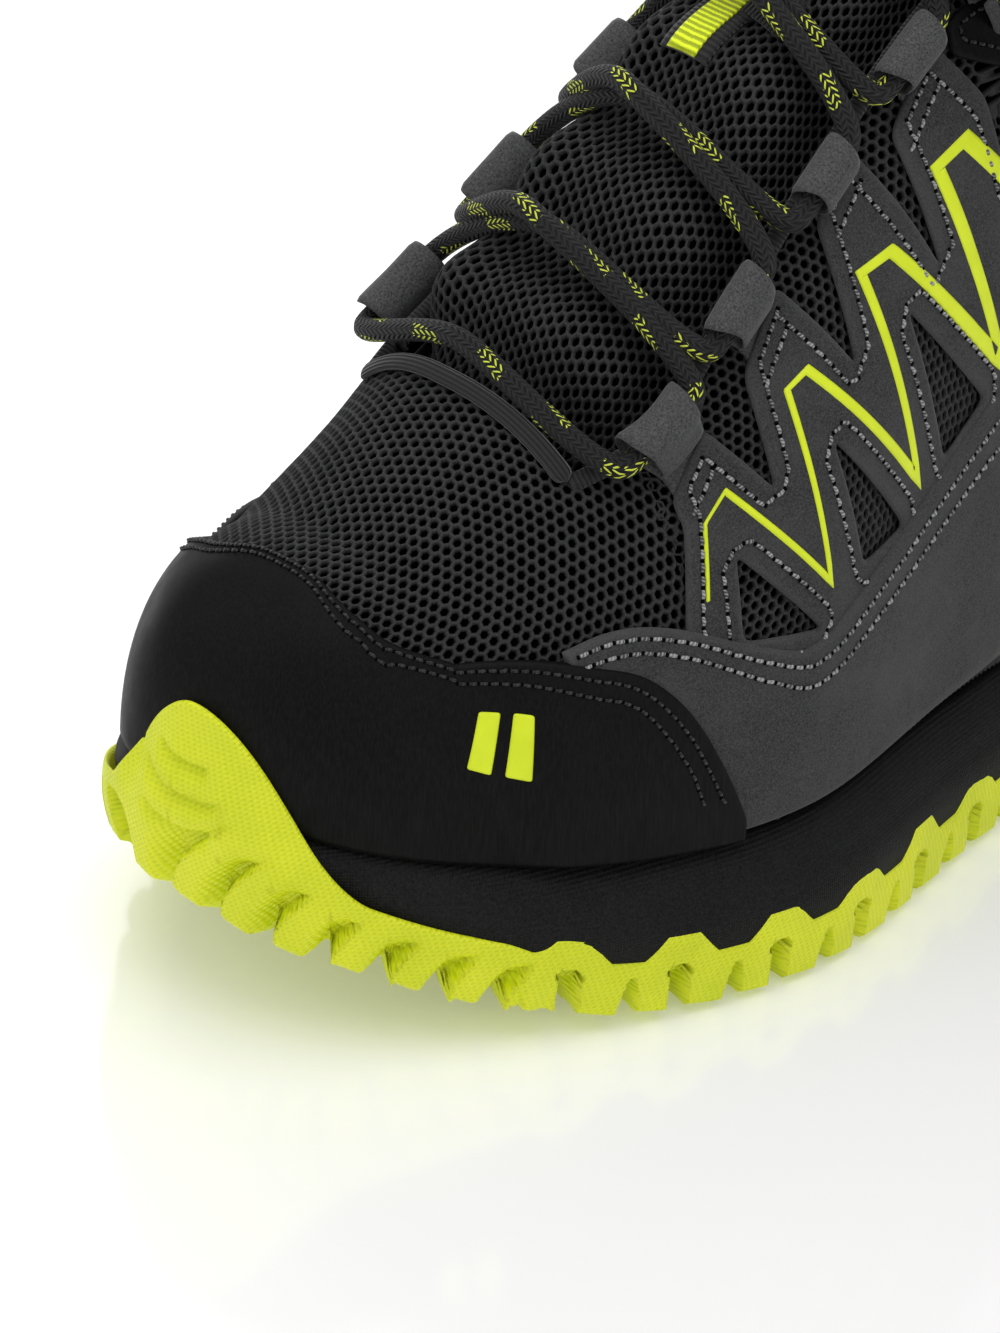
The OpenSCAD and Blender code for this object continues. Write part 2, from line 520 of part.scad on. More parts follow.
// The front bar runs from one side to the other ahead of the first row
function first_bar() = let (a = loop_end(0, 1, -1), b = loop_end(0, 0, -1),
        m = over_tongue(row_t(0) + 0.27, 0, 4.6),
        da = -handle * loop_dir(0, 1), db = handle * loop_dir(0, 0), dm = 1.6 * handle * unit(b - a))
    concat(bend(a, da, m, dm), [m], bend(m, dm, b, db));
function reversed(p) = [for (i = [len(p) - 1 : -1 : 0]) p[i]];
module lace() {
    color("#121214") cord(concat(reversed(lace_run(1)), first_bar(), lace_run(0)), lace_r);
}
module lace_knot() {
    color("#121214") translate(knot_at) sphere(r = knot_r, $fn = 24);
}
// Bow loops and tails fall to either side of the knot
function beside_knot(side, dt, drop, h) = let (t = side ? turns - knot_t - dt : knot_t + dt)
    on_dome(t, rim(t) + 24 - drop, h);
// [along the shoe, degrees down the side, height off it]
function cord_spots(keys, side) = [for (p = keys) beside_knot(side, p[0], p[1], p[2])];
bow_keys = [[0.04, 9, 14], [0.06, 20, 14], [0.04, 34, 12.5], [-0.09, 41, 12], [-0.25, 34, 12.5],
    [-0.19, 20, 14], [-0.06, 9, 14]];
module bow_loop(side) {
    color("#121214") cord(smooth_path(cord_spots(bow_keys, side), 5), lace_r);
}
module bow_loop_lateral() { bow_loop(0); }
module bow_loop_medial() { bow_loop(1); }
tail_keys = [[-0.28, 10, 17], [-0.43, 20, 16], [-0.54, 34, 15], [-0.58, 50, 12]];
module lace_tail(side) {
    color("#121214") cord(smooth_path(cord_spots(tail_keys, side), 5), lace_r);
}
module lace_tail_lateral() { lace_tail(0); }
module lace_tail_medial() { lace_tail(1); }
module aglet(side) {
    ends = cord_spots(tail_keys, side);
    a = ends[2];
    b = ends[3];
    color("#0d0d0e") translate(b + unit(b - a) * 0.5) point_along(unit(b - a))
        cylinder(r = 1.7, h = 16, $fn = 24);
}
module aglet_lateral() { aglet(0); }
module aglet_medial() { aglet(1); }

// ---- heel pull loop ----------------------------------------------------------------
pull_width = 15;
module pull_loop() {
    top = dome(0, rim(0));
    color("#1a1a1c") translate([top[0] - 5.3, top[1], top[2] - 14]) rotate([90, 0, 0])
        linear_extrude(pull_width, center = true) difference() {
            hull() {
                translate([0, 2]) circle(r = 2, $fn = 32);
                translate([-2.5, 30]) circle(r = 5, $fn = 32);
            }
            hull() {
                translate([0, 4]) circle(r = 0.6, $fn = 32);
                translate([-2.5, 30]) circle(r = 3.4, $fn = 32);
            }
        }
}

// The origin lies in the middle of the flat face of the seventh centre lug
rest_lug = first_lug + 6 * lug_step;
rest_at = [rest_lug * lx + 0.8 * chevron_deep, middle(rest_lug), 0];
module placed() {
    translate(-rest_at) children();
}

placed() outsole();
placed() centre_lugs();
placed() midsole();
placed() insole_board();
placed() footbed();
placed() vamp();
placed() quarter_lateral();
placed() quarter_medial();
placed() vamp_lining();
placed() collar_lining();
placed() collar_foam();
placed() toe_puff();
placed() heel_counter();
placed() toe_cap();
placed() toe_mark();
placed() mudguard_lateral();
placed() mudguard_medial();
placed() strap_overlay_lateral();
placed() strap_overlay_medial();
placed() stripe_lateral();
placed() stripe_medial();
placed() ankle_patch_lateral();
placed() ankle_patch_medial();
placed() backstay();
placed() collar_binding();
placed() throat_binding();
placed() lace_loops_lateral();
placed() lace_loops_medial();
placed() tongue_cover();
placed() tongue_foam();
placed() tongue_lining();
placed() lace_keeper();
placed() lace();
placed() lace_knot();
placed() bow_loop_lateral();
placed() bow_loop_medial();
placed() lace_tail_lateral();
placed() lace_tail_medial();
placed() aglet_lateral();
placed() aglet_medial();
placed() pull_loop();
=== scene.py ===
"""The looks of a trail running shoe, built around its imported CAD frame.

The upper is a dome over the sole. A place on it is (t, v): t runs once round the sole outline in
18 spans from the back of the heel, outer side first, and v climbs from the sole (0) to the ridge
of the foot (90 degrees). Lengths are in millimetres until a mesh is written, in metres.
"""

import math

import bmesh
import bpy
import numpy as np
from mathutils import Matrix, Vector
from mathutils.bvhtree import BVHTree
from mathutils.geometry import delaunay_2d_cdt
from mathutils.kdtree import KDTree


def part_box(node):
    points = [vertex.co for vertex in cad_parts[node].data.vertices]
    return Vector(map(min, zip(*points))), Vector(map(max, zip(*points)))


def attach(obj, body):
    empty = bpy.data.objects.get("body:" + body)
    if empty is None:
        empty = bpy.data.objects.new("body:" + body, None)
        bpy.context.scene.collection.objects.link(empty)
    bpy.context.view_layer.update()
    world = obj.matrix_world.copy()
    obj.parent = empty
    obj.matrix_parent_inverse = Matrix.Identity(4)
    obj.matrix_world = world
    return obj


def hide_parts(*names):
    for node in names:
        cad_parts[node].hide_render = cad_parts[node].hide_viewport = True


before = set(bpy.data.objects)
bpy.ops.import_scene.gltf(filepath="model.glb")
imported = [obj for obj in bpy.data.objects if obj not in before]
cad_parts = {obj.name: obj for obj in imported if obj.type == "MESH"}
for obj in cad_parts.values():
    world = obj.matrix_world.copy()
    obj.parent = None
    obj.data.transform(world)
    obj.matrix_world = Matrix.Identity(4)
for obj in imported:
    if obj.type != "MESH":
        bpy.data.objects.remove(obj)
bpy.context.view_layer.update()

MM = 0.001
TURNS = 18
RIDGE = 90
RNG = np.random.default_rng(7)

# ---- sizes ------------------------------------------------------------------------------
SOLE_LONG = 295
SOLE_WIDE = 114
SOLE_LOW, SOLE_HIGH = (np.array(corner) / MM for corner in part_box("outsole"))
STRETCH = (SOLE_HIGH[0] - SOLE_LOW[0]) / SOLE_LONG
WIDTH = (SOLE_HIGH[1] - SOLE_LOW[1]) / SOLE_WIDE

# The sole: depth of the lugs, heights of the plate and the rubber wall over the tread, and of the bumper
LUG = 4.5
PLATE = 7.5
WALL = 13.5
BUMPER = 60
# The upper: the mesh, and the underside and thickness of its overlays
MESH = 2.2
LAY = 0.75
SKIN = 0.9
GAP = 0.3
# The lace and the tabs that roll round it
LACE_R = 2.1
LOOP_R = 4.2
LOOP_LONG = 14
LOOP_LIFT = LAY + SKIN + GAP + LOOP_R
# Places on the chart: front end of the throat, its tape, front end of the collar
THROAT = 5.95
FRONT_T = 5.88
COLLAR = 3.66


# ---- the chart of the upper ----------------------------------------------------------------
def smooth(x, a, b):
    u = np.clip((np.asarray(x, float) - a) / (b - a), 0, 1)
    return u * u * (3 - 2 * u)


def mix(a, b, k):
    return a + (b - a) * k


def unit(v):
    v = np.asarray(v, float)
    return v / np.maximum(np.linalg.norm(v, axis=-1, keepdims=True), 1e-12)


def reach(path):
    """The length along a path up to each of its points."""
    return np.concatenate([[0], np.cumsum(np.linalg.norm(np.diff(path, axis=0), axis=1))])


def sample(values, at, length):
    """Values that go with lengths along a path, read at other lengths."""
    return np.stack([np.interp(at, length, column) for column in values.T], -1)


def on_side(side, t):
    """A chart t of the outer side (0), or its mirror place on the inner side (1)."""
    return TURNS - t if side else t


def curve(x, keys):
    """A smooth line through keys (x, y)."""
    keys = np.array(keys, float)
    kx, ky = keys[:, 0], keys[:, 1]
    index = np.arange(len(kx))
    after, before = np.minimum(index + 1, len(kx) - 1), np.maximum(index - 1, 0)
    slope = (ky[after] - ky[before]) / (kx[after] - kx[before])
    x = np.clip(x, kx[0], kx[-1])
    i = np.clip(np.searchsorted(kx, x, side="right") - 1, 0, len(kx) - 2)
    h = kx[i + 1] - kx[i]
    s = (x - kx[i]) / h
    return (ky[i] * (2 * s**3 - 3 * s**2 + 1) + slope[i] * h * (s**3 - 2 * s**2 + s)
            + ky[i + 1] * (3 * s**2 - 2 * s**3) + slope[i + 1] * h * (s**3 - s**2))


PLAN = np.array([[0, -1], [9, 24], [38, 36.5], [90, 35.5], [140, 46.5], [190, 59], [232, 53], [266, 37],
                 [288, 17], [295, -12], [288, -31], [266, -50], [232, -55], [190, -48], [140, -38.5],
                 [90, -35.5], [38, -37.5], [9, -25]], float) * [STRETCH, WIDTH]


def spline(points, t, looped=False):
    """A smooth path through points, at places t counted in points."""
    points = np.asarray(points, float)
    n = len(points)
    t = np.asarray(t, float)
    i = np.floor(t).astype(int)
    if not looped:
        i = np.clip(i, 0, n - 2)
    s = (t - i)[..., None]
    pick = (lambda k: points[(i + k) % n]) if looped else (lambda k: points[np.clip(i + k, 0, n - 1)])
    a, b, c, d = pick(-1), pick(0), pick(1), pick(2)
    return 0.5 * (2 * b + (c - a) * s + (2 * a - 5 * b + 4 * c - d) * s**2 + (3 * b - a - 3 * c + d) * s**3)


def plan(t):
    return spline(PLAN, t, looped=True)


T_STEPS = np.linspace(0, TURNS, 4001)
PLAN_SPOTS = plan(T_STEPS)
# The chart starts at the back of the heel; the frame's origin is under the shank
SHIFT = np.array([*(PLAN_SPOTS.min(0) - SOLE_LOW[:2]), 0])
KNOT_LOW, KNOT_HIGH = (np.array(corner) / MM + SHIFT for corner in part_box("lace_knot"))
KNOT = (KNOT_LOW + KNOT_HIGH) / 2


def plan_out(t):
    d = unit(plan(np.asarray(t) + 0.01) - plan(np.asarray(t) - 0.01))
    return np.stack([-d[..., 1], d[..., 0]], -1)


def plan_in(t, inset):
    """The sole outline, moved in by inset."""
    return plan(t) - plan_out(t) * np.asarray(inset)[..., None]


def along(t):
    """Distance from the heel at a place t of the outline, before STRETCH."""
    return plan(t)[..., 0] / STRETCH


def tread_z(x):
    """Height of the lug faces: toe and heel spring."""
    return np.maximum(0, curve(x, [[0, 4.5], [12, 1.4], [26, 0], [60, 0], [195, 0], [232, 1.6], [262, 8.5],
                                   [284, 18.5], [295, 26]]))


def feather_z(x):
    """Height of the line where the upper meets the sole."""
    return curve(x, [[0, 36], [40, 31], [90, 28], [150, 27.5], [200, 28], [235, 29.5], [262, 33], [282, 38.5],
                     [295, 43]])


def ridge_z(x):
    """Height of the ridge, where the two sides of the dome meet."""
    return curve(x, [[0, 196], [60, 198], [110, 195], [131, 183], [152, 165], [172, 147], [192, 129],
                     [212, 111], [235, 96.5], [259, 83]])


def ridge_y(x):
    return curve(x, [[0, -2], [60, -2], [110, -4], [150, -9], [212, -12], [235, -10], [259, -6]])


def upper_inset(x):
    return curve(x, [[0, 4], [60, 5], [150, 8.5], [200, 9], [255, 8.5], [280, 5.5], [295, 4.5]])


OUTER_ROUND = [[0, 2.6], [110, 2.5], [150, 2.3], [212, 2.25], [259, 2.3]]
INNER_ROUND = [[0, 2.6], [110, 2.8], [150, 3.2], [212, 3], [235, 2.4], [259, 2.3]]


def dome(t, v):
    """Points of the upper's base surface: a rounded rib over each place of the outline."""
    t, v = np.broadcast_arrays(np.asarray(t, float), np.clip(np.asarray(v, float), 0, RIDGE))
    x = along(t)
    foot = plan_in(t, upper_inset(x))
    top = np.clip(x, 42, 259)
    side = smooth(foot[..., 1] - ridge_y(top), -12, 12)
    e = 2 / mix(curve(top, INNER_ROUND), curve(top, OUTER_ROUND), side)
    c, s = np.cos(np.radians(v)) ** e, np.sin(np.radians(v)) ** e
    ridge = np.stack([top * STRETCH, ridge_y(top)], -1)
    xy = ridge + (foot - ridge) * c[..., None]
    z = feather_z(x) + (ridge_z(top) - feather_z(x)) * s
    return np.concatenate([xy, z[..., None]], -1)


def dome_out(t, v):
    """Outward normals of the dome, blended over the ridge into one that both sides share."""
    t, w = np.broadcast_arrays(np.asarray(t, float), np.clip(np.asarray(v, float), 1, 89))
    up = dome(t, w + 1) - dome(t, w - 1)
    round_ = dome(t + 0.05, w) - dome(t - 0.05, w)
    normal = np.cross(up, round_)
    ridge = np.cross(dome(t, 89) - dome(t, 87), dome(t + 0.05, 88) - dome(t - 0.05, 88))
    other = np.cross(dome(TURNS - t, 89) - dome(TURNS - t, 87),
                     dome(TURNS - t + 0.05, 88) - dome(TURNS - t - 0.05, 88))
    shared = unit(unit(ridge) + unit(other))
    return unit(mix(unit(normal), shared, np.asarray(smooth(v, 70, RIDGE))[..., None]))


def on_dome(t, v, lift):
    return dome(t, v) + dome_out(t, v) * np.asarray(lift, float)[..., None]


def fold(t):
    """The outer-side place that mirrors t, so that one rule serves both sides."""
    u = np.mod(np.asarray(t, float) + TURNS, TURNS)
    return np.minimum(u, TURNS - u)


def rim(t):
    """Top line: the collar from the heel, up to the top lace row, then along the throat."""
    return curve(fold(t), [[0, 29], [1, 27.5], [2, 23.5], [2.6, 24], [3, 27.5], [3.35, 38], [3.6, 51],
                           [3.8, 59], [4.15, 61], [5, 59], [5.5, 56], [5.95, 60]])


def row_t(i):
    """Place of lace row i, counted from the toe."""
    return 5.48 - 0.47 * i + 0.01 * i * i


def cap_top(t):
    """Upper edge of the toe cap."""
    return curve(t, [[5.42, 2], [5.56, 10], [5.72, 19], [5.9, 26], [6.13, 31], [6.42, 37], [6.78, 43],
                     [7.2, 49], [7.44, 56], [7.92, 68], [8.72, 72], [9.5, 68], [10.27, 58], [10.8, 47],
                     [11.4, 39], [11.9, 31], [12.3, 19], [12.58, 2]])


def guard_top(t):
    """Upper edge of the mudguard."""
    return curve(fold(t), [[1.3, 7], [2, 12], [3, 19], [3.76, 20], [4.61, 18], [5.04, 17], [5.3, 21],
                           [5.65, 29], [5.86, 33], [6.05, 35], [6.25, 35.5]])


# ---- writing meshes --------------------------------------------------------------------------
def put(name, points, faces, finish, body="root", stands_for=None, slot=None, uv=None, shade=None, tidy=True):
    """Writes one piece. faces is a list of index arrays; uv and shade hold a value for each point.

    stands_for names the CAD node that the piece replaces. tidy turns the faces outward.
    """
    mesh = bpy.data.meshes.new(name)
    points = np.asarray(points, float)
    loops = np.concatenate([np.asarray(f).ravel() for f in faces]).astype(np.int32)
    sizes = np.concatenate([np.full(len(f), np.asarray(f).shape[1]) for f in faces]).astype(np.int32)
    mesh.vertices.add(len(points))
    mesh.vertices.foreach_set("co", ((points - SHIFT) * MM).astype(np.float32).ravel())
    mesh.loops.add(len(loops))
    mesh.loops.foreach_set("vertex_index", loops)
    mesh.polygons.add(len(sizes))
    mesh.polygons.foreach_set("loop_start", (np.cumsum(sizes) - sizes).astype(np.int32))
    mesh.update(calc_edges=True)
    if shade is not None:
        tones = mesh.attributes.new("shade", "FLOAT", "POINT")
        tones.data.foreach_set("value", np.asarray(shade, np.float32))
    if uv is not None:
        chart = mesh.uv_layers.new(name="chart")
        chart.data.foreach_set("uv", np.asarray(uv, np.float32)[loops].ravel())
    mesh.validate()
    if tidy:
        work = bmesh.new()
        work.from_mesh(mesh)
        bmesh.ops.recalc_face_normals(work, faces=work.faces)
        work.to_mesh(mesh)
        work.free()
    mesh.shade_smooth()
    piece = bpy.data.objects.new(name, mesh)
    bpy.context.scene.collection.objects.link(piece)
    mesh.materials.append(finish)
    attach(piece, body)
    if stands_for:
        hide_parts(stands_for)


def grid_faces(rows, cols, ring=False):
    """Quads over a grid of points; with ring, the last column joins the first."""
    i, j = np.meshgrid(np.arange(rows - 1), np.arange(cols if ring else cols - 1), indexing="ij")
    k, m = i + 1, (j + 1) % cols
    return np.stack([i * cols + j, i * cols + m, k * cols + m, k * cols + j], -1).reshape(-1, 4)


def halved(quads):
    """Two triangles for each quad."""
    return np.concatenate([quads[:, [0, 1, 2]], quads[:, [0, 2, 3]]])


def border_edges(pairs):
    """The edges that only one face has."""
    _, index, count = np.unique(np.sort(pairs, 1), axis=0, return_index=True, return_counts=True)
    return pairs[index[count == 1]]


def slab(top, bottom):
    """A closed sheet between two grids of points (rows, cols, 3)."""
    rows, cols = top.shape[:2]
    points = np.concatenate([top.reshape(-1, 3), bottom.reshape(-1, 3)])
    n = rows * cols
    face = grid_faces(rows, cols)
    index = np.arange(n).reshape(rows, cols)
    border = np.concatenate([index[0, :-1], index[:-1, -1], index[-1, :0:-1], index[:0:-1, 0]])
    nxt = np.roll(border, -1)
    wall = np.stack([border, nxt, nxt + n, border + n], -1)
    return points, [face, face[:, ::-1] + n, wall]


def round_off(u, width):
    """0 at an edge (u = 0), 1 once u reaches width, as a quarter circle."""
    return np.sqrt(np.clip(1 - (1 - np.clip(u / width, 0, 1)) ** 2, 0, 1))


def layer(name, t0, t1, nt, lo, hi, nv, low, high, finish, edge=1.2, **more):
    """A layer of the upper between two lifts off the dome, with rounded edges."""
    t = np.linspace(t0, t1, nt)[:, None]
    share = np.linspace(0, 1, nv)[None, :]
    v = mix(lo(t), hi(t), share)
    t = np.broadcast_to(t, v.shape)
    inner, outer = low(t, v) + 0 * v, high(t, v) + 0 * v
    base = dome(t, v)
    across = np.cumsum(np.linalg.norm(np.diff(base, axis=1, prepend=base[:, :1]), axis=-1), axis=1)
    length = np.cumsum(np.linalg.norm(np.diff(base, axis=0, prepend=base[:1]), axis=-1), axis=0)
    near = np.minimum(across, across[:, -1:] - across)
    near = np.minimum(near, np.minimum(length, length[-1:] - length))
    k = round_off(near + 0.05, edge)
    middle = (inner + outer) / 2
    normal = dome_out(t, v)
    top = base + normal * mix(middle, outer, k)[..., None]
    bottom = base + normal * mix(middle, inner, k)[..., None]
    points, faces = slab(top, bottom)
    uv = np.tile(np.stack([length, across], -1).reshape(-1, 2), (2, 1))
    put(name, points, faces, finish, uv=uv, **more)


def flat(value):
    """A rule for layer that gives the same value everywhere."""
    return lambda *places: value + 0 * places[-1]


def tube(path, radius, sides=14, squash=1.0, up=None):
    """A round cord along a dense path: points, faces, (length along, share around)."""
    path = np.asarray(path, float)
    n = len(path)
    d = unit(np.gradient(path, axis=0))
    side = np.zeros_like(path)
    side[0] = unit(np.cross(d[0], [0, 0, 1] if abs(d[0][2]) < 0.9 else [1, 0, 0]))
    for i in range(1, n):
        side[i] = unit(side[i - 1] - d[i] * np.dot(side[i - 1], d[i]))
    if up is not None:
        side = unit(np.cross(d, up))
    lift = np.cross(side, d)
    a = np.linspace(0, 2 * np.pi, sides, endpoint=False)
    length = reach(path)
    r = np.asarray(radius, float) * np.ones(n)
    r = r * np.maximum(round_off(np.minimum(length, length[-1] - length), r.mean()), 0.04)
    ring_ = np.cos(a)[None, :, None] * side[:, None] + np.sin(a)[None, :, None] * lift[:, None] * squash
    points = path[:, None] + ring_ * r[:, None, None]
    end = np.arange(sides)[None, :]
    faces = [grid_faces(n, sides, ring=True), end[:, ::-1], end + (n - 1) * sides]
    return points.reshape(-1, 3), faces, chart_of(length[:, None], end / sides)


def chart_of(along_, across_):
    """Chart coordinates for a grid of points, as one list."""
    return np.stack(np.broadcast_arrays(along_, across_), -1).reshape(-1, 2)


def even(path, step):
    """The same path with points every step."""
    path = np.asarray(path, float)
    length = reach(path)
    at = np.linspace(0, length[-1], max(3, int(round(length[-1] / step)) + 1))
    return sample(path, at, length)


# ---- materials --------------------------------------------------------------------------------
class Finish:
    """A small builder for procedural materials."""

    def __init__(self, name, colour, rough=0.6, sheen=0.0, level=0.4):
        self.material = bpy.data.materials.new(name)
        self.material.use_nodes = True
        self.tree = self.material.node_tree
        self.shader = self.tree.nodes["Principled BSDF"]
        self.set("Base Color", colour)
        self.set("Roughness", rough)
        self.set("Sheen Weight", sheen)
        self.set("Sheen Roughness", 0.4)
        self.set("Specular IOR Level", level)
        self.place = self.node("ShaderNodeTexCoord").outputs["Object"]
        self.chart = self.node("ShaderNodeTexCoord").outputs["UV"]
        self.bump = None

    def node(self, kind, **values):
        made = self.tree.nodes.new(kind)
        for key, value in values.items():
            setattr(made, key, value)
        return made

    def link(self, source, target):
        self.tree.links.new(source, target)

    def feed(self, socket, value):
        """Links a node output to a socket, or writes a plain value or colour into it."""
        if hasattr(value, "is_output"):
            self.link(value, socket)
        elif isinstance(value, tuple) and len(value) == 3 and socket.type == "RGBA":
            socket.default_value = (*value, 1)
        else:
            socket.default_value = value

    def set(self, name, value):
        self.feed(self.shader.inputs[name], value)

    def math(self, operation, a, b=0.0, c=0.0):
        made = self.node("ShaderNodeMath", operation=operation)
        for socket, value in zip(made.inputs, (a, b, c)):
            self.feed(socket, value)
        return made.outputs[0]

    def wave(self, value, period):
        return self.math("SINE", self.math("MULTIPLY", value, 2 * math.pi / period))

    def parts(self, vector):
        made = self.node("ShaderNodeSeparateXYZ")
        self.link(vector, made.inputs[0])
        return made.outputs

    def noise(self, size, detail=4.0, stretch=(1, 1, 1), rough=0.55):
        """A noise whose features are about size millimetres."""
        scale = self.node("ShaderNodeVectorMath", operation="MULTIPLY")
        self.link(self.place, scale.inputs[0])
        scale.inputs[1].default_value = [k / (size * MM) for k in stretch]
        made = self.node("ShaderNodeTexNoise")
        self.link(scale.outputs[0], made.inputs["Vector"])
        made.inputs["Scale"].default_value = 1
        made.inputs["Detail"].default_value = detail
        made.inputs["Roughness"].default_value = rough
        return made.outputs[0]

    def ramp(self, value, *stops):
        """Colours by value, from stops (value, colour)."""
        made = self.node("ShaderNodeValToRGB")
        self.link(value, made.inputs[0])
        ramp = made.color_ramp
        while len(ramp.elements) < len(stops):
            ramp.elements.new(0.5)
        for element, (at, colour) in zip(ramp.elements, stops):
            element.position = at
            element.color = (*colour, 1)
        return made.outputs[0]

    def blend(self, k, a, b, kind="MIX"):
        made = self.node("ShaderNodeMix", data_type="RGBA", blend_type=kind)
        for socket, value in zip((made.inputs[0], made.inputs[6], made.inputs[7]), (k, a, b)):
            self.feed(socket, value)
        return made.outputs[2]

    def relief(self, height, depth, strength=1.0):
        """Adds bump of about depth millimetres."""
        made = self.node("ShaderNodeBump")
        made.inputs["Strength"].default_value = strength
        made.inputs["Distance"].default_value = depth * MM
        self.link(height, made.inputs["Height"])
        if self.bump:
            self.link(self.bump, made.inputs["Normal"])
        self.bump = made.outputs[0]
        self.link(self.bump, self.shader.inputs["Normal"])

    def pointed(self):
        return self.node("ShaderNodeNewGeometry").outputs["Pointiness"]

    def shade(self):
        return self.node("ShaderNodeAttribute", attribute_name="shade").outputs["Fac"]


def grey(level):
    """A dark neutral, very slightly blue."""
    return (level, level, level * 1.03)


def nubuck_finish():
    f = Finish("nubuck", grey(0.05), rough=0.75, sheen=0.12, level=0.2)
    grain = f.noise(0.35, detail=6, rough=0.7)
    cloud = f.noise(14, detail=3)
    colour = f.ramp(grain, (0.38, grey(0.014)), (0.64, grey(0.068)))
    colour = f.blend(f.ramp(cloud, (0.4, (0, 0, 0)), (0.62, (0.35, 0.35, 0.35))), colour, grey(0.07))
    wear = f.ramp(f.pointed(), (0.52, (0, 0, 0)), (0.62, (0.55, 0.55, 0.55)))
    f.set("Base Color", f.blend(wear, colour, grey(0.11)))
    f.relief(f.noise(5, detail=5), 0.35, 0.5)
    f.relief(grain, 0.08, 0.6)
    return f.material


def tab_finish():
    f = Finish("nubuck_tab", grey(0.06), rough=0.66, sheen=0.18, level=0.25)
    grain = f.noise(0.4, detail=6, rough=0.75)
    f.set("Base Color", f.ramp(grain, (0.38, grey(0.022)), (0.66, grey(0.11))))
    f.relief(grain, 0.07, 0.6)
    return f.material


def toe_finish():
    """Smooth coated synthetic with a fine upright hair line."""
    f = Finish("toe_synthetic", grey(0.006), rough=0.5, level=0.09)
    hair = f.noise(0.4, detail=3, stretch=(1, 1, 0.06))
    f.set("Base Color", f.ramp(hair, (0.35, grey(0.003)), (0.78, grey(0.009))))
    f.set("Roughness", f.ramp(f.noise(9), (0.3, grey(0.42)), (0.7, grey(0.56))))
    f.relief(hair, 0.05, 0.5)
    f.relief(f.noise(0.25, detail=5), 0.03, 0.4)
    return f.material


def rubber_finish():
    """Moulded rubber with a fine knurl of dimples, and painted shade darkening the bottoms of the dimples."""
    f = Finish("rubber_green", (0.74, 0.86, 0.016), rough=0.5, level=0.4)
    along_, up, _ = f.parts(f.chart)
    pitch = 1.25
    row = f.math("MULTIPLY", up, math.pi / (pitch * 0.62))
    shift = f.math("ADD", f.math("MULTIPLY", along_, 2 * math.pi / pitch), f.math("MULTIPLY", up, 2.2))
    dimple = f.math("MULTIPLY", f.math("SINE", shift), f.math("SINE", row))
    colour = f.ramp(f.noise(18), (0.35, (0.76, 0.85, 0.012)), (0.65, (0.88, 0.95, 0.02)))
    # Painted shade: this ramp darkens the colour in the bottoms of the dimples.
    dark = f.ramp(f.math("MULTIPLY_ADD", dimple, 0.5, 0.5), (0.05, (0.6, 0.7, 0.1)), (0.45, (1, 1, 1)))
    f.set("Base Color", f.blend(0.4, colour, dark, "MULTIPLY"))
    f.set("Subsurface Weight", 0.06)
    f.set("Subsurface Radius", (0.002, 0.002, 0.0005))
    f.relief(dimple, 0.22, 0.7)
    f.relief(f.noise(0.3), 0.03, 0.4)
    return f.material


def foam_wall_finish():
    """Moulded foam with a woven texture that fades in patches."""
    f = Finish("midsole_foam", grey(0.012), rough=0.6, level=0.1)
    along_, up, _ = f.parts(f.chart)
    weave = f.math("MULTIPLY", *(f.wave(f.math(way, along_, up), 1.1) for way in ("ADD", "SUBTRACT")))
    patch = f.noise(16, detail=2)
    shown = f.math("MULTIPLY", weave, f.ramp(patch, (0.35, (0.3, 0.3, 0.3)), (0.6, (1, 1, 1))))
    f.set("Base Color", f.ramp(f.noise(0.5), (0.3, grey(0.006)), (0.75, grey(0.02))))
    f.relief(shown, 0.16, 0.8)
    f.relief(f.noise(0.3, detail=5), 0.05, 0.5)
    return f.material


def mesh_finish():
    """Knitted mesh with painted shade in its holes; shade is 1 on its face and 0 at the bottom of a hole."""
    f = Finish("spacer_mesh", grey(0.02), rough=0.65, level=0.15)
    fibre = f.noise(0.22, detail=3, stretch=(1, 1.8, 0.7))
    hole_shade_mix = f.shade()
    colour = f.ramp(fibre, (0.3, grey(0.012)), (0.75, grey(0.062)))
    # Painted shade: by the shade attribute, the holes darken toward near black at their floors and lose their
    # specular.
    f.set("Base Color", f.blend(hole_shade_mix, grey(0.0008), colour))
    f.set("Specular IOR Level", f.math("MULTIPLY", hole_shade_mix, 0.22))
    f.relief(fibre, 0.12, 0.9)
    return f.material


def weave_finish(name, colour, pitch=0.9, rough=0.8, rib=False):
    """Plain woven or ribbed textile."""
    f = Finish(name, colour, rough=rough, sheen=0.3, level=0.25)
    along_, across, _ = f.parts(f.chart)
    wave = f.wave(along_, pitch)
    if not rib:
        wave = f.math("MULTIPLY", wave, f.wave(across, pitch))
    fuzz = f.noise(0.25, detail=5)
    dark = tuple(c * 0.6 for c in colour)
    light = tuple(c * 1.5 for c in colour)
    f.set("Base Color", f.ramp(f.math("MULTIPLY_ADD", wave, 0.3, fuzz), (0.3, dark), (0.8, light)))
    f.relief(wave, 0.2 * pitch, 0.7)
    f.relief(fuzz, 0.08, 0.5)
    return f.material


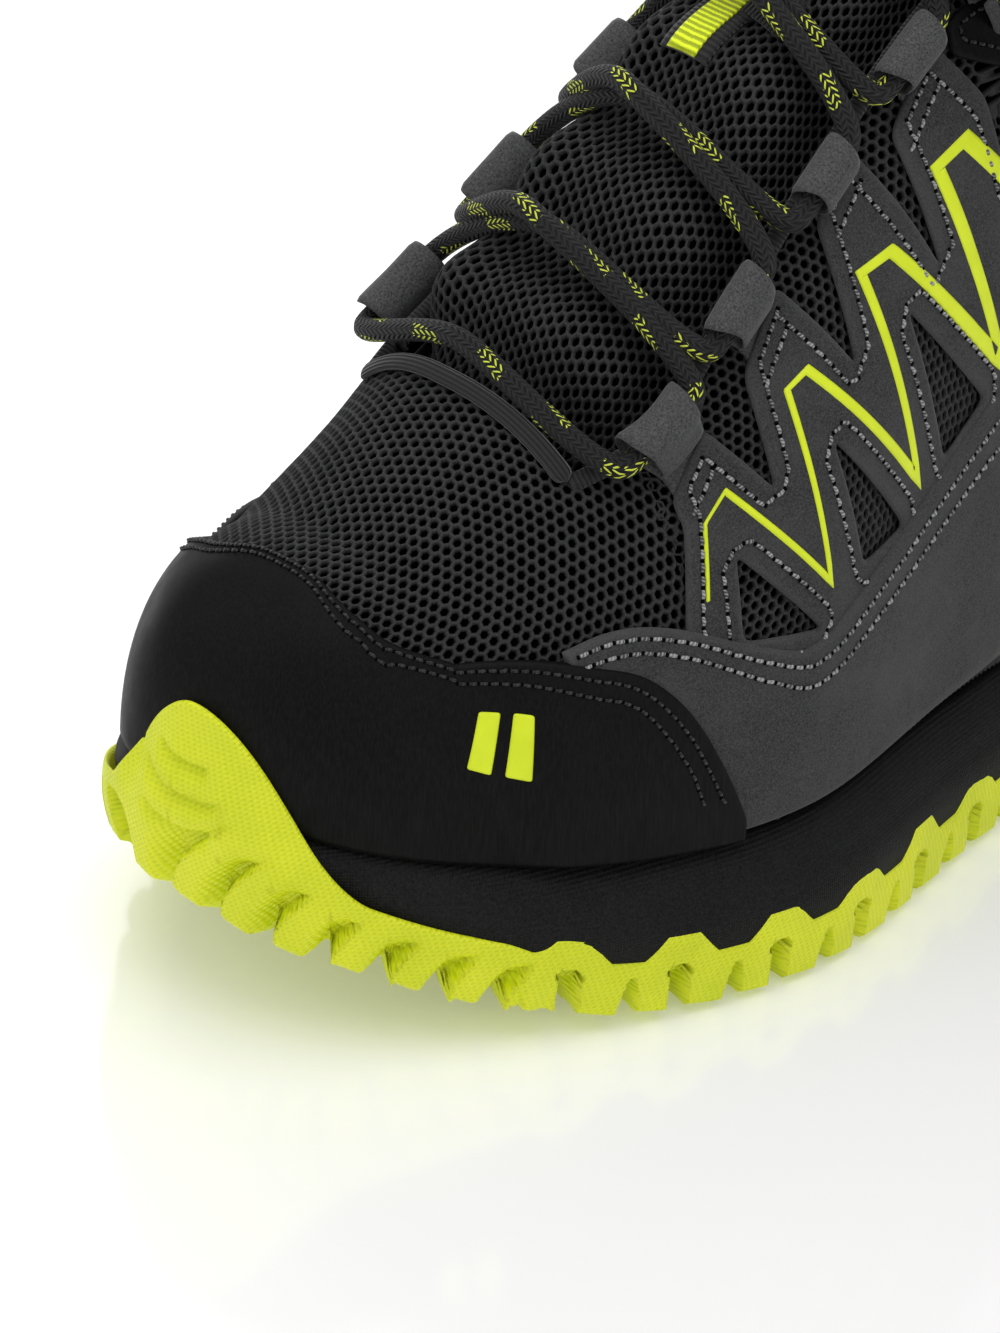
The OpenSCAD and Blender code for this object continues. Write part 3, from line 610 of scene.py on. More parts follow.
def cord_finish():
    """Round braid: chevron strands, with bright flecks in groups along the cord."""
    f = Finish("lace_cord", grey(0.01), rough=0.6, sheen=0.05, level=0.25)
    along_, around, _ = f.parts(f.chart)
    columns = 12
    column = f.math("MULTIPLY", around, columns)
    odd = f.math("MODULO", f.math("FLOOR", column), 2)
    share = f.math("FRACT", column)
    slant = f.math("ABSOLUTE", f.math("SUBTRACT", share, odd))
    strand = f.math("ADD", f.math("DIVIDE", along_, 1.45), slant)
    ridge = f.math("MULTIPLY", f.wave(strand, 1), f.wave(share, 2))
    group = f.math("LESS_THAN", f.math("FRACT", f.math("DIVIDE", along_, 16)), 0.42)
    turn = f.math("FRACT", f.math("ADD", around, f.math("DIVIDE", along_, 48)))
    half = f.math("FRACT", f.math("MULTIPLY", turn, 2))
    band = f.math("LESS_THAN", f.math("ABSOLUTE", f.math("SUBTRACT", half, 0.5)), 0.2)
    on = f.math("GREATER_THAN", ridge, 0.3)
    fleck = f.math("MULTIPLY", f.math("MULTIPLY", group, band), on)
    dark = f.ramp(f.math("MULTIPLY_ADD", ridge, 0.5, 0.5), (0.2, grey(0.003)), (0.85, grey(0.024)))
    f.set("Base Color", f.blend(fleck, dark, (0.8, 0.9, 0.08)))
    f.relief(ridge, 0.3, 0.9)
    f.relief(f.noise(0.2), 0.04, 0.5)
    return f.material


def film_finish():
    f = Finish("film_green", (0.75, 0.9, 0.015), rough=0.42, level=0.4)
    f.set("Base Color", f.ramp(f.noise(6), (0.35, (0.74, 0.88, 0.014)), (0.65, (0.8, 0.94, 0.02))))
    f.relief(f.noise(0.3, detail=5), 0.04, 0.5)
    return f.material


def thread_finish(name, dark, light):
    """Twisted sewing thread; shade tells one stitch from the next."""
    f = Finish(name, light, rough=0.6, sheen=0.2, level=0.4)
    along_, around, _ = f.parts(f.chart)
    twist = f.wave(f.math("ADD", f.math("DIVIDE", along_, 0.7), around), 1)
    tone = f.math("MULTIPLY_ADD", twist, 0.35, f.shade())
    f.set("Base Color", f.ramp(tone, (0.15, dark), (0.85, light)))
    f.relief(twist, 0.1, 0.8)
    return f.material


def soft_finish(name, dark, light, grain=0.6, rough=0.85):
    """Foam, felted board and moulded sheets."""
    f = Finish(name, light, rough=rough, sheen=0.1, level=0.2)
    cells = f.noise(grain, detail=5, rough=0.7)
    f.set("Base Color", f.ramp(cells, (0.3, dark), (0.7, light)))
    f.relief(cells, grain * 0.3, 0.6)
    return f.material


GREEN = (0.74, 0.88, 0.02)
NUBUCK = nubuck_finish()
TAB = tab_finish()
TOE = toe_finish()
RUBBER = rubber_finish()
FOAM_WALL = foam_wall_finish()
MESH_CLOTH = mesh_finish()
LINING = weave_finish("lining_textile", grey(0.02), 0.8)
BINDING = weave_finish("binding_tape", grey(0.022), 0.9, rib=True)
WEBBING = weave_finish("keeper_webbing", grey(0.02), 0.9, rough=0.7, rib=True)
KEEPER = weave_finish("keeper_tape", GREEN, 1.0, rough=0.6, rib=True)
FOOTBED = weave_finish("footbed_textile", grey(0.03), 0.7)
CORD = cord_finish()
FILM = film_finish()
THREAD_GREY = thread_finish("thread_grey", grey(0.06), grey(0.42))
THREAD_BLACK = thread_finish("thread_black", grey(0.004), grey(0.03))
# Near-black finish for the painted shade of the needle holes between stitches.
HOLE_SHADE = Finish("needle_hole_shade", grey(0.002), rough=0.9, level=0.05).material
FOAM = soft_finish("padding_foam", grey(0.06), grey(0.12))
BOARD = soft_finish("fibre_board", (0.36, 0.31, 0.22), (0.55, 0.49, 0.38), 1.2)
STIFFENER = soft_finish("stiffener", (0.2, 0.18, 0.15), (0.33, 0.3, 0.26), 2.0, 0.5)
TIP = soft_finish("aglet_plastic", grey(0.006), grey(0.014), 3.0, 0.22)


# ---- the sole ------------------------------------------------------------------------------------
ARC = reach(PLAN_SPOTS)
PERIMETER = ARC[-1]
PAIR_PITCH = 21.6
LUGS = 2 * round(PERIMETER / PAIR_PITCH)
PITCH = PERIMETER / LUGS
CUP_DEEP = 5.3


def round_the_sole(columns):
    """Even steps round the outline: lengths s and chart places t."""
    s = np.arange(columns) * PERIMETER / columns
    return s, np.interp(s, ARC, T_STEPS)


def in_bumper(t):
    """1 at the toe, where the rubber wall rises to the bumper."""
    return smooth(t, 7.4, 8.65) * (1 - smooth(t, 8.65, 9.55))


def ring(t, inset, z):
    """A ring of points round the sole."""
    xy = plan_in(t, inset + 0 * t)
    return np.concatenate([xy, (z + 0 * t)[:, None]], -1)


def cap_faces(n, base):
    """Closes a ring of n points across the shoe."""
    j = np.arange(1, n // 2 - 1)
    quads = base + np.stack([j, j + 1, n - j - 1, n - j], -1)
    ends = base + np.array([[0, 1, n - 1], [n // 2 - 1, n // 2, n // 2 + 1]])
    return [quads, ends]


def put_rings(name, rows, finish, s=None, **more):
    """Writes a closed body from rings, with its chart round the wall (s, z) or flat (x, y)."""
    points = np.stack(rows)
    n_rows, columns = points.shape[:2]
    faces = [grid_faces(n_rows, columns, ring=True), *cap_faces(columns, 0),
             *cap_faces(columns, (n_rows - 1) * columns)]
    uv = points[..., :2].reshape(-1, 2) if s is None else chart_of(s[None, :], points[..., 2])
    put(name, points.reshape(-1, 3), faces, finish, uv=uv, **more)


def side_notch(s, z):
    """How far each place is inside the slots between the edge lugs: V slots and keyholes in turn."""
    phase = s / PITCH
    slot = ((phase + 1) % 2 - 1) * PITCH
    keyhole = (phase % 2 - 1) * PITCH
    slot_half = 2.1 * (1 - z / 10.5)
    slot_in = np.clip((slot_half - np.abs(slot + 0.1 * z)) / 0.5 + 0.5, 0, 1) * (z < 8.6)
    keyhole_half = np.where(z < 8, 1.75, np.sqrt(np.clip(2.4**2 - (z - 8) ** 2, 0, None)))
    keyhole_in = np.clip((keyhole_half - np.abs(keyhole - 0.6)) / 0.5 + 0.5, 0, 1) * (z < 10.4)
    return np.maximum(slot_in * 0.85, keyhole_in)


def toe_zone(t):
    """1 round the toe, where the edge lugs are swept fingers."""
    return smooth(t, 6.35, 6.7) * (1 - smooth(t, 10.8, 11.4))


def toe_notch(s, t, z):
    """Scoops that sweep up between the finger lugs round the toe."""
    tip = np.interp(8.9, T_STEPS, ARC)
    side = np.clip((s - tip) / 10, -1, 1)
    x = ((s - side * (0.3 * z + 0.024 * z * z)) / (PITCH * 0.96) % 1 - 0.5) * PITCH
    edge = np.where(side < 0, x, -x)
    scoop = np.clip((edge + 2.7) / 0.7, 0, 1) * (1 - smooth(edge, -1.9, 3.6))
    tall = mix(9.5, 21, in_bumper(t)) + 2.5 * np.abs(side)
    return scoop * (1 - smooth(z, tall * 0.5, tall))


def smile(s, z):
    """Three curved grooves across the toe bumper, each sharp above and soft below."""
    x = s - np.interp(8.72, T_STEPS, ARC) + 2
    depth = 0
    for height, wide in ((49.8, 6), (43.8, 9.5), (37.2, 8)):
        line = height + (x / 10) ** 2 * 2.6 + 0.16 * x
        near = z - line
        profile = np.where(near > 0, np.exp(-(near / 0.6) ** 2), np.exp(-(near / 2.0) ** 2))
        depth = depth + profile * (1 - smooth(np.abs(x), wide * 0.7, wide * 1.1))
    return depth


def make_outsole():
    s, t = round_the_sole(LUGS * 20)
    toe = in_bumper(t)
    base = tread_z(along(t))
    wave = np.clip(-np.cos(math.pi * s / PITCH) * 1.7, -1, 1) * 2.5
    wave = wave * (1 - toe_zone(t))
    top = mix(base + WALL + wave, BUMPER, toe)

    def notch(z):
        return mix(side_notch(s, z), toe_notch(s, t, z), toe_zone(t))

    def under(inset):
        return tread_z(plan_in(t, inset + 0 * t)[:, 0] / STRETCH)

    open_ = notch(1.5 + 0 * s)
    raised = open_ * (LUG - 0.3)
    deep = mix(7, 5, toe_zone(t))
    slant = 0.9 * ((s / PITCH) % 1) * (1 - open_)
    far = smooth(t, 8.8, 9.4) * (1 - smooth(t, 10.4, 11.2))
    sag = 2.4 * smooth(t, 7.4, 8.2) * (1 - smooth(t, 9.0, 9.5))
    tucked = 4 * far
    lean = (0.7 + 1.2 * far + 2.0 * smooth(top, 26, BUMPER)) * smooth(top - base, 15, 24)
    rows = [ring(t, 13, under(13) + LUG), ring(t, 13, under(13) + raised)]
    for inset in (9, 6, 3.4, 1.2):
        low = under(inset) + raised + slant * (inset < 7) - sag * (1 - inset / 13)
        rows.append(ring(t, np.maximum(inset, deep * open_ + 0.6 + tucked), low))
    start = base + raised + 0.9 + slant - sag
    for q in np.linspace(0, 1, 84):
        z = mix(start, top, q)
        bulge = (1.1 * toe * (1 - far) + 0.4) * math.sin(math.pi * q)
        groove = smile(s, z) * 1.9 * smooth(toe, 0.05, 0.3)
        tuck = tucked * (1 - smooth(z, 8, 32)) + 0.5 * far
        scoop = notch(z - base) * mix(deep, 1.6, smooth(z - base, 9, 15) * toe_zone(t))
        rows.append(ring(t, scoop + groove - bulge + tuck + lean * smooth(q, 0.4, 1), z))
    rows += [ring(t, lean + 0.3 + 0.3 * far, top + 0.4), ring(t, lean + 1.0, top + 0.5),
             ring(t, lean + 1.7, top - 0.3), ring(t, 2.7, base + PLATE)]
    put_rings("rubber_outsole", rows, RUBBER, s, stands_for="outsole", slot="rubber_green")


def make_midsole():
    s, t = round_the_sole(640)
    base = tread_z(along(t))
    wall = mix(base + WALL, BUMPER, in_bumper(t))
    feather = feather_z(along(t))
    side = mix(0.55, 3.6, smooth(wall, feather - 14, feather - 6))
    inset = upper_inset(along(t))
    low = np.minimum(wall - 3.5, feather - 6)
    rows = [ring(t, 3.6, base + PLATE + GAP), ring(t, np.maximum(2.7, side), low - 0.5), ring(t, side, low)]
    for q in np.linspace(0.04, 1, 16):
        z = mix(low, feather - 0.6, q)
        bulge = 0.9 * math.sin(math.pi * q)
        line = 0.6 * np.exp(-((z - feather + 6.5) / 0.7) ** 2) * (1 - smooth(fold(t), 4.6, 5.4))
        ripple = 0.12 * np.sin(s / 9.0) * math.sin(math.pi * q)
        rows.append(ring(t, mix(side, inset - 0.4, q**3.2) - bulge + line + ripple, z))
    rows += [ring(t, inset + 0.4, feather), ring(t, inset + 5.2, feather - 0.3)]
    cup = inset + 6.2
    rows.append(ring(t, cup, feather_z(plan_in(t, cup)[:, 0] / STRETCH) - CUP_DEEP))
    put_rings("foam_midsole", rows, FOAM_WALL, s, stands_for="midsole", slot="eva_black")


def make_footbed():
    """The cushion in the cup of the midsole, with a raised edge."""
    _, t = round_the_sole(300)
    edge = upper_inset(along(t)) + 6.9
    under, over, rise = 2.7, 6.7, 3.0

    def level(inset, z):
        floor = feather_z(plan_in(t, edge + inset)[:, 0] / STRETCH) - CUP_DEEP
        return ring(t, edge + inset, floor + z)

    top = over + rise
    rows = [level(6, under), level(0.6, under), level(0, under + 0.4), level(0, top - 0.5), level(0.5, top)]
    for inset in np.linspace(1.5, 12, 8):
        rows.append(level(inset, over + rise * (1 - smooth(inset, 0.5, 11))))
    put_rings("footbed_cushion", rows, FOOTBED, stands_for="footbed", slot="footbed_foam")


# ---- fabric nets --------------------------------------------------------------------------------------
def flatten(grid, rounds=350):
    """Unrolls a grid of points into the plane, keeping its lengths as well as springs can."""
    rows, cols = grid.shape[:2]
    down = np.linalg.norm(np.diff(grid, axis=0), axis=-1).mean(1)
    right = np.linalg.norm(np.diff(grid, axis=1), axis=-1).mean(0)
    steps = [np.concatenate([[0], np.cumsum(sizes)]) for sizes in (down, right)]
    flat_ = np.stack(np.meshgrid(*steps, indexing="ij"), -1).reshape(-1, 2)
    index = np.arange(rows * cols).reshape(rows, cols)
    pairs = np.concatenate([np.stack([a.ravel(), b.ravel()], -1) for a, b in (
        (index[:-1], index[1:]), (index[:, :-1], index[:, 1:]),
        (index[:-1, :-1], index[1:, 1:]), (index[1:, :-1], index[:-1, 1:]))])
    spots = grid.reshape(-1, 3)
    rest = np.linalg.norm(spots[pairs[:, 0]] - spots[pairs[:, 1]], axis=1)
    count = np.bincount(pairs.ravel(), minlength=rows * cols)[:, None]
    for _ in range(rounds):
        d = flat_[pairs[:, 1]] - flat_[pairs[:, 0]]
        length = np.maximum(np.linalg.norm(d, axis=1), 1e-6)
        pull = d * ((length - rest) / length)[:, None]
        move = np.zeros_like(flat_)
        np.add.at(move, pairs[:, 0], pull)
        np.add.at(move, pairs[:, 1], -pull)
        flat_ += move / count
    return flat_


def net(name, base, normal, chart, pitch, plain, keep, finish, thick=MESH, stretch=1.0, depth=0.95, **more):
    """Spacer mesh on a grid of base points: round holes sunk in a staggered pattern, closed behind.

    pitch is the distance between holes, plain tells where there are none and keep where there is mesh.
    """
    rows, cols = base.shape[:2]
    flat_ = flatten(base)
    triangles = halved(grid_faces(rows, cols))
    tree = BVHTree.FromPolygons([(*p, 0.0) for p in flat_], triangles.tolist())
    carried = np.concatenate([base.reshape(-1, 3), normal.reshape(-1, 3), chart.reshape(rows * cols, -1)], -1)

    def carry(places):
        """What the grid carries at flat places, and which of them lie off it."""
        out = np.zeros((len(places), carried.shape[1]))
        off = np.ones(len(places), bool)
        for k, (x, y) in enumerate(places):
            hit, _, face, distance = tree.find_nearest((x, y, 0))
            a, b, c = (flat_[i] for i in triangles[face])
            area = (b[0] - a[0]) * (c[1] - a[1]) - (b[1] - a[1]) * (c[0] - a[0])
            wb = ((hit.x - a[0]) * (c[1] - a[1]) - (hit.y - a[1]) * (c[0] - a[0])) / area
            wc = ((b[0] - a[0]) * (hit.y - a[1]) - (b[1] - a[1]) * (hit.x - a[0])) / area
            out[k] = carried[triangles[face]].T @ (1 - wb - wc, wb, wc)
            off[k] = distance > 0.15 * pitch
        return out, off

    low, high = flat_.min(0), flat_.max(0)
    size = pitch / math.sqrt(3)
    corner_angle = np.radians(30 + 60 * np.arange(6))
    corner = np.stack([np.cos(corner_angle), np.sin(corner_angle) * stretch], -1) * size
    step_y = 1.5 * size * stretch
    centres = []
    for row in range(int((high[1] - low[1]) / step_y) + 1):
        stagger = 0.5 * (row % 2)
        for column in range(int((high[0] - low[0]) / pitch) + 1):
            centres.append((low[0] + (column + stagger) * pitch, low[1] + row * step_y))
    centres = np.array(centres)
    middle, off = carry(centres)
    used = ~off & keep(*middle[:, 6:].T)
    centres, middle = centres[used], middle[used]
    corners = centres[:, None] + corner
    keys = np.round(corners.reshape(-1, 2) / (size * 0.2)).astype(int)
    _, first, back = np.unique(keys, axis=0, return_index=True, return_inverse=True)
    rim_spots, rim_off = carry(corners.reshape(-1, 2)[first])
    back = back.reshape(-1, 6)
    whole = ~rim_off[back].any(1)
    middle, back = middle[whole], back[whole]
    used, back = np.unique(back, return_inverse=True)
    back = back.reshape(-1, 6)
    rim_spots = rim_spots[used]
    sunk = ~plain(*middle[:, 6:].T)
    n_rim = len(rim_spots)

    def lifted(spot, lift):
        return spot[..., :3] + unit(spot[..., 3:6]) * lift

    points = [lifted(rim_spots, 0.0), lifted(rim_spots, -thick)]
    shade = [np.ones(n_rim), np.ones(n_rim)]
    faces = [back[~sunk]] if (~sunk).any() else []
    faces.append(back[:, ::-1] + n_rim)
    total = 2 * n_rim
    cells = back[sunk]
    heart = middle[sunk][:, None]
    around = rim_spots[cells]
    uneven = RNG.normal(1, 0.035, (len(cells), 1, 1))
    previous = cells
    # tone is painted shade, written to the shade attribute: 1 on the face, darker down each hole's wall, 0 at
    # its floor, which the mesh finish paints near black.
    for share, lift, tone in ((0.86, -0.06, 1.0), (0.62, -0.4, 0.55), (0.62 * 0.9, -depth, 0.0)):
        spots = heart + (around - heart) * np.minimum(share * uneven, 0.95)
        points.append(lifted(spots, lift).reshape(-1, 3))
        shade.append(np.full(len(cells) * 6, tone))
        current = total + np.arange(len(cells) * 6).reshape(-1, 6)
        total += len(cells) * 6
        wall = [previous, np.roll(previous, -1, 1), np.roll(current, -1, 1), current]
        faces.append(np.stack(wall, -1).reshape(-1, 4))
        previous = current
    faces.append(previous)
    border = border_edges(np.stack([back, np.roll(back, -1, 1)], -1).reshape(-1, 2))
    faces.append(np.stack([border[:, 1], border[:, 0], border[:, 0] + n_rim, border[:, 1] + n_rim], -1))
    put(name, np.concatenate(points), faces, finish, shade=np.concatenate(shade), tidy=False, **more)


# ---- the upper: mesh, linings, paddings -----------------------------------------------------------
SIDES = ("lateral", "medial")
SEAM_T = 5.58
HOLE_PITCH = 2.25


def hidden(t, v):
    """Where the mesh lies under overlays."""
    cap = (np.abs(t - 9) < 3.5) & (v < cap_top(t) - 4)
    return cap | ((fold(t) > 1.4) & (v < guard_top(t) - 3))


def make_vamp():
    """The front mesh, on a grid of rays from the middle of the foot, as the chart is uneven there."""
    t = np.linspace(5.3, 12.7, 149)
    v = np.linspace(0, RIDGE, 91)
    chart = np.stack(np.meshgrid(t, v, indexing="ij"), -1).reshape(-1, 2)
    dome_points = dome(chart[:, 0], chart[:, 1])
    faces = halved(grid_faces(len(t), len(v)))
    tree = BVHTree.FromPolygons(dome_points.tolist(), faces.tolist())
    xs = np.linspace(207, 277, 36) * STRETCH
    turns = np.radians(np.linspace(1, 179, 61))
    base = np.zeros((len(xs), len(turns), 3))
    places = np.zeros((len(xs), len(turns), 3))
    for i, x in enumerate(xs):
        y = ridge_y(min(x / STRETCH, 259))
        z = feather_z(x / STRETCH) + 1
        for j, a in enumerate(turns):
            ray = Vector((0, math.cos(a), math.sin(a)))
            hit, _, face, _ = tree.ray_cast(Vector((x, float(y), float(z))), ray)
            corners = dome_points[faces[face]]
            weight = np.linalg.lstsq(np.vstack([corners.T, [1, 1, 1]]), [*hit, 1], rcond=None)[0]
            base[i, j] = hit
            places[i, j, :2] = weight @ chart[faces[face]]
    places[..., 2] = fold(places[..., 0])
    normal = unit(np.cross(np.gradient(base, axis=0), np.gradient(base, axis=1)))
    normal *= np.sign(normal[..., 2:].mean())

    def plain(t, v, _):
        return hidden(t, v)

    def keep(t, v, f):
        return (f > SEAM_T) & ~((f < FRONT_T) & (v > rim(f)))

    net("vamp_mesh", base, normal, places, HOLE_PITCH, plain, keep, MESH_CLOTH, stands_for="vamp",
        slot="mesh_black")
    layer("vamp_toe", 6.9, 11.1, 60, flat(0.5), lambda t: np.minimum(cap_top(t) - 5, 62), 12, flat(-MESH),
          flat(-0.05), MESH_CLOTH, slot="mesh_black")


def make_quarter(side, word):
    t = np.linspace(0.012, SEAM_T + 0.03, 70)[:, None]
    v = rim(t) * np.linspace(0.005, 1, 22)[None, :]
    t, v = np.broadcast_arrays(on_side(side, t), v)
    net(f"quarter_mesh_{word}", dome(t, v), dome_out(t, v), np.stack([t, v], -1), HOLE_PITCH, hidden,
        lambda t, v: v > -1, MESH_CLOTH, stands_for=f"quarter_{word}", slot="mesh_black")


FOAM_OUT = -MESH - GAP - 1.6 - GAP
LINING_OUT = -MESH - GAP - 1 - GAP


def padding(t, v):
    """Lift of the inner face of the collar padding, thin at the foot and at the top line."""
    thick = mix(0.6, 5, smooth(v, 5, 13)) * mix(1, 0.55, smooth(v, rim(t) - 5, rim(t)))
    return FOAM_OUT - thick


def under_rim(drop):
    return lambda t: rim(t) - drop


def make_linings():
    layer("collar_padding", -COLLAR, COLLAR, 160, flat(0.3), under_rim(0.8), 24, padding, flat(FOAM_OUT),
          FOAM, stands_for="collar_foam", slot="foam")
    layer("collar_fabric", -COLLAR, COLLAR, 200, flat(0.3), under_rim(0.8), 30,
          lambda t, v: padding(t, v) - 1.1, lambda t, v: padding(t, v) - GAP, LINING,
          stands_for="collar_lining", slot="lining_textile")
    layer("forefoot_fabric", THROAT + 0.02, TURNS - THROAT - 0.02, 160, flat(0.2), flat(89.5), 30,
          flat(LINING_OUT - 0.8), flat(LINING_OUT), LINING, stands_for="vamp_lining", slot="lining_textile")
    for side, word in enumerate(SIDES):
        ends = sorted(on_side(side, end) for end in (COLLAR + 0.01, THROAT - 0.02))
        layer(f"side_fabric_{word}", *ends, 60, flat(0.2), under_rim(1), 20, flat(LINING_OUT - 0.8),
              flat(LINING_OUT), LINING, slot="lining_textile")


def make_collar():
    t = np.linspace(-COLLAR + 0.05, COLLAR - 0.05, 360)
    up = unit(dome(t, rim(t) + 1) - dome(t, rim(t) - 1))
    path = on_dome(t, rim(t), -4.2) + up * 3.6
    points, faces, uv = tube(path, 2.6, sides=18)
    put("collar_edge", points, faces, BINDING, stands_for="collar_binding", slot="binding_textile",
        uv=uv * [1, 16])
    layer("heel_stay", -1.2, 1.2, 70, flat(0.1), under_rim(1.5), 36, flat(LAY), flat(LAY + SKIN), NUBUCK,
          stands_for="backstay", slot="nubuck_grey")


def make_throat_edges():
    """The ribbed tape over the front end of the throat, and thin piping up both sides."""
    rise = np.linspace(60, 89.9, 60)
    v = np.concatenate([rise, rise[::-1]])
    t = np.repeat([FRONT_T, TURNS - FRONT_T], len(rise))
    path = even(on_dome(t, v, LAY + 0.2), 0.8)
    points, faces, uv = tube(path, 1.9, sides=18, squash=0.45, up=np.array([0.5, 0, 0.85]))
    uv = np.stack([uv[:, 1] * 12, uv[:, 0]], -1)
    put("throat_tape", points, faces, BINDING, stands_for="throat_binding", slot="binding_textile",
        uv=uv * [1, 10])
    for side, word in enumerate(SIDES):
        t = on_side(side, np.linspace(COLLAR + 0.06, FRONT_T, 220))
        points, faces, uv = tube(on_dome(t, rim(t) + 0.4, -0.4), 1.7)
        put(f"throat_piping_{word}", points, faces, BINDING, slot="binding_textile", uv=uv * [1, 8])


# ---- the tongue ------------------------------------------------------------------------------
TONGUE_TOP = 3.42
TONGUE_FOOT = 6.05
COVER = 1.2
TONGUE_LOW = LINING_OUT - 0.8 - COVER


def tongue_edge(t):
    """Lower edge of the tongue on each side."""
    return mix(68, rim(t) - 14, smooth(t, 3.74, 4.05))


def tongue_crown(t, v):
    """Lift of the tongue's face: under the linings at its edges, proud of the throat in the middle."""
    face = mix(TONGUE_LOW, 1.2, smooth(v, np.minimum(rim(t), 64) - 1, 80))
    return face - 7.5 * smooth(t, 5.5, 5.9) + 3 * (1 - smooth(t, TONGUE_TOP, 3.8))


def tongue_pillow(t, v):
    """Swells between the laces, sinks where they cross."""
    row = np.interp(-t, -row_t(np.arange(-1, 6)), np.arange(-1, 6))
    return (3.0 * np.cos(math.pi * row) ** 2 - 0.4) * smooth(v - rim(t), 2, 13) * smooth(row, -0.9, -0.4)


def across(rows, half):
    """Grids of t and v over the ridge from the outer edge of the tongue to the inner one."""
    t = np.linspace(TONGUE_TOP, TONGUE_FOOT, rows)[:, None]
    v = mix(tongue_edge(t), RIDGE, np.linspace(0, 1, half)[None, :])
    grid_t = np.concatenate([t + 0 * v, TURNS - (t + 0 * v[:, :-1])], 1)
    return grid_t, np.concatenate([v, v[:, -2::-1]], 1)


def keeper_tape(name, half, low, high, finish):
    """A tape on the middle line of the tongue, half its width in degrees of the chart."""
    t = row_t(np.linspace(2.7, 1.9, 30))[:, None]
    across_ = np.linspace(-half, half, 9)[None, :]
    t = np.where(across_ > 0, TURNS - t, t)
    v = np.broadcast_to(RIDGE - np.abs(across_), t.shape)
    lift = tongue_crown(fold(t), v) + tongue_pillow(fold(t), v)
    points, faces = slab(on_dome(t, v, lift + high), on_dome(t, v, lift + low))
    put(name, points, faces, finish, body="tongue", slot="webbing", uv=points[:, :2])


def make_tongue():
    t, v = across(70, 24)
    f = fold(t)
    full = smooth(f, 3.9, 4.3) * (1 - smooth(f, 5.4, 5.75)) * np.where(t > TURNS / 2, 1, 0.35)
    crown = tongue_crown(f, v) + tongue_pillow(f, v)
    crown = crown + 2.5 * full * smooth(v - rim(f), 5, 12) * (1 - smooth(v, 74, 86))
    out = dome_out(t, v)
    base = dome(t, v)

    def shell(lift):
        return base + out * lift[..., None]

    net("tongue_mesh", shell(crown), out, np.stack([f, v], -1), 2.9, lambda t, v: v < 52, lambda t, v: v > 0,
        MESH_CLOTH, thick=COVER, stretch=0.58, body="tongue", stands_for="tongue_cover", slot="mesh_black",
        depth=0.85)
    foam = crown - COVER - GAP
    back = foam - mix(1, 6, smooth(v, tongue_edge(f), tongue_edge(f) + 18))
    points, faces = slab(shell(foam), shell(back))
    put("tongue_padding", points, faces, FOAM, body="tongue", stands_for="tongue_foam", slot="foam")
    points, faces = slab(shell(back - GAP), shell(back - GAP - 0.8))
    put("tongue_fabric", points, faces, LINING, body="tongue", stands_for="tongue_lining",
        slot="lining_textile", uv=points[:, :2])
    points, faces, uv = tube(even(shell(crown - 3.2)[0], 1.0), 4.4, sides=16)
    put("tongue_edge", points, faces, BINDING, body="tongue", slot="binding_textile", uv=uv * [1, 25])


def make_keeper():
    """The lace keeper: a band across the tongue, and two tapes along its middle line."""
    t = row_t(np.linspace(2.68, 2.32, 9))[:, None]
    v = np.concatenate([np.linspace(79, RIDGE, 12), np.linspace(89, 79, 11)])[None, :]
    t = np.where(np.arange(23) >= 12, TURNS - t, t)
    v = np.broadcast_to(v, t.shape)
    lift = tongue_crown(fold(t), v) + tongue_pillow(fold(t), v) + GAP
    points, faces = slab(on_dome(t, v, lift + 0.8), on_dome(t, v, lift))
    put("keeper_band", points, faces, WEBBING, body="tongue", stands_for="lace_keeper", slot="webbing",
        uv=points[:, 1:])
    keeper_tape("keeper_webbing_strip", 4.6, 0.25, 0.8, WEBBING)
    keeper_tape("keeper_green_strip", 2.3, 0.75, 1.2, KEEPER)


# ---- overlays -----------------------------------------------------------------------------------
# Millimetres on the upper for one millimetre of outline, and for one degree of v, on average
SHRINK = 0.72
UPRIGHT = 1.35
# Stitching that is finer than the usual
FINE = {"pitch": 1.9, "long": 1.5, "radius": 0.28}


def to_plane(places):
    """Chart places in a plane of millimetres, near enough for spacing points."""
    places = np.asarray(places, float)
    return np.stack([np.interp(places[..., 0], T_STEPS, ARC) * SHRINK, places[..., 1] * UPRIGHT], -1)


def to_chart(spots):
    return np.interp(spots[..., 0] / SHRINK, ARC, T_STEPS), spots[..., 1] / UPRIGHT


def straight(places, looped=True, n=14):
    """Chart places along the straight lines, laid on the dome, that join the given places."""
    places = np.array(places, float)
    ends = np.roll(places, -1, 0) if looped else places[1:]
    starts = places if looped else places[:-1]
    share = (np.arange(n) / n)[None, :, None]
    chart = (starts[:, None] + (ends - starts)[:, None] * share).reshape(-1, 2)
    a, b = dome(starts[:, 0], starts[:, 1]), dome(ends[:, 0], ends[:, 1])
    goal = (a[:, None] + (b - a)[:, None] * share).reshape(-1, 3)
    for _ in range(5):
        t, v = chart.T
        here = dome(t, v)
        by_t = (dome(t + 0.01, v) - dome(t - 0.01, v)) / 0.02
        by_v = dome(t, v + 0.5) - dome(t, v - 0.5)
        miss = goal - here
        tt, vv, tv = (by_t**2).sum(-1), (by_v**2).sum(-1), (by_t * by_v).sum(-1)
        mt, mv = (miss * by_t).sum(-1), (miss * by_v).sum(-1)
        det = tt * vv - tv * tv
        chart = chart + np.stack([(mt * vv - mv * tv) / det, (mv * tt - mt * tv) / det], -1)
        chart[:, 1] = np.clip(chart[:, 1], 0, 89)
    return chart if looped else np.vstack([chart, places[-1:]])


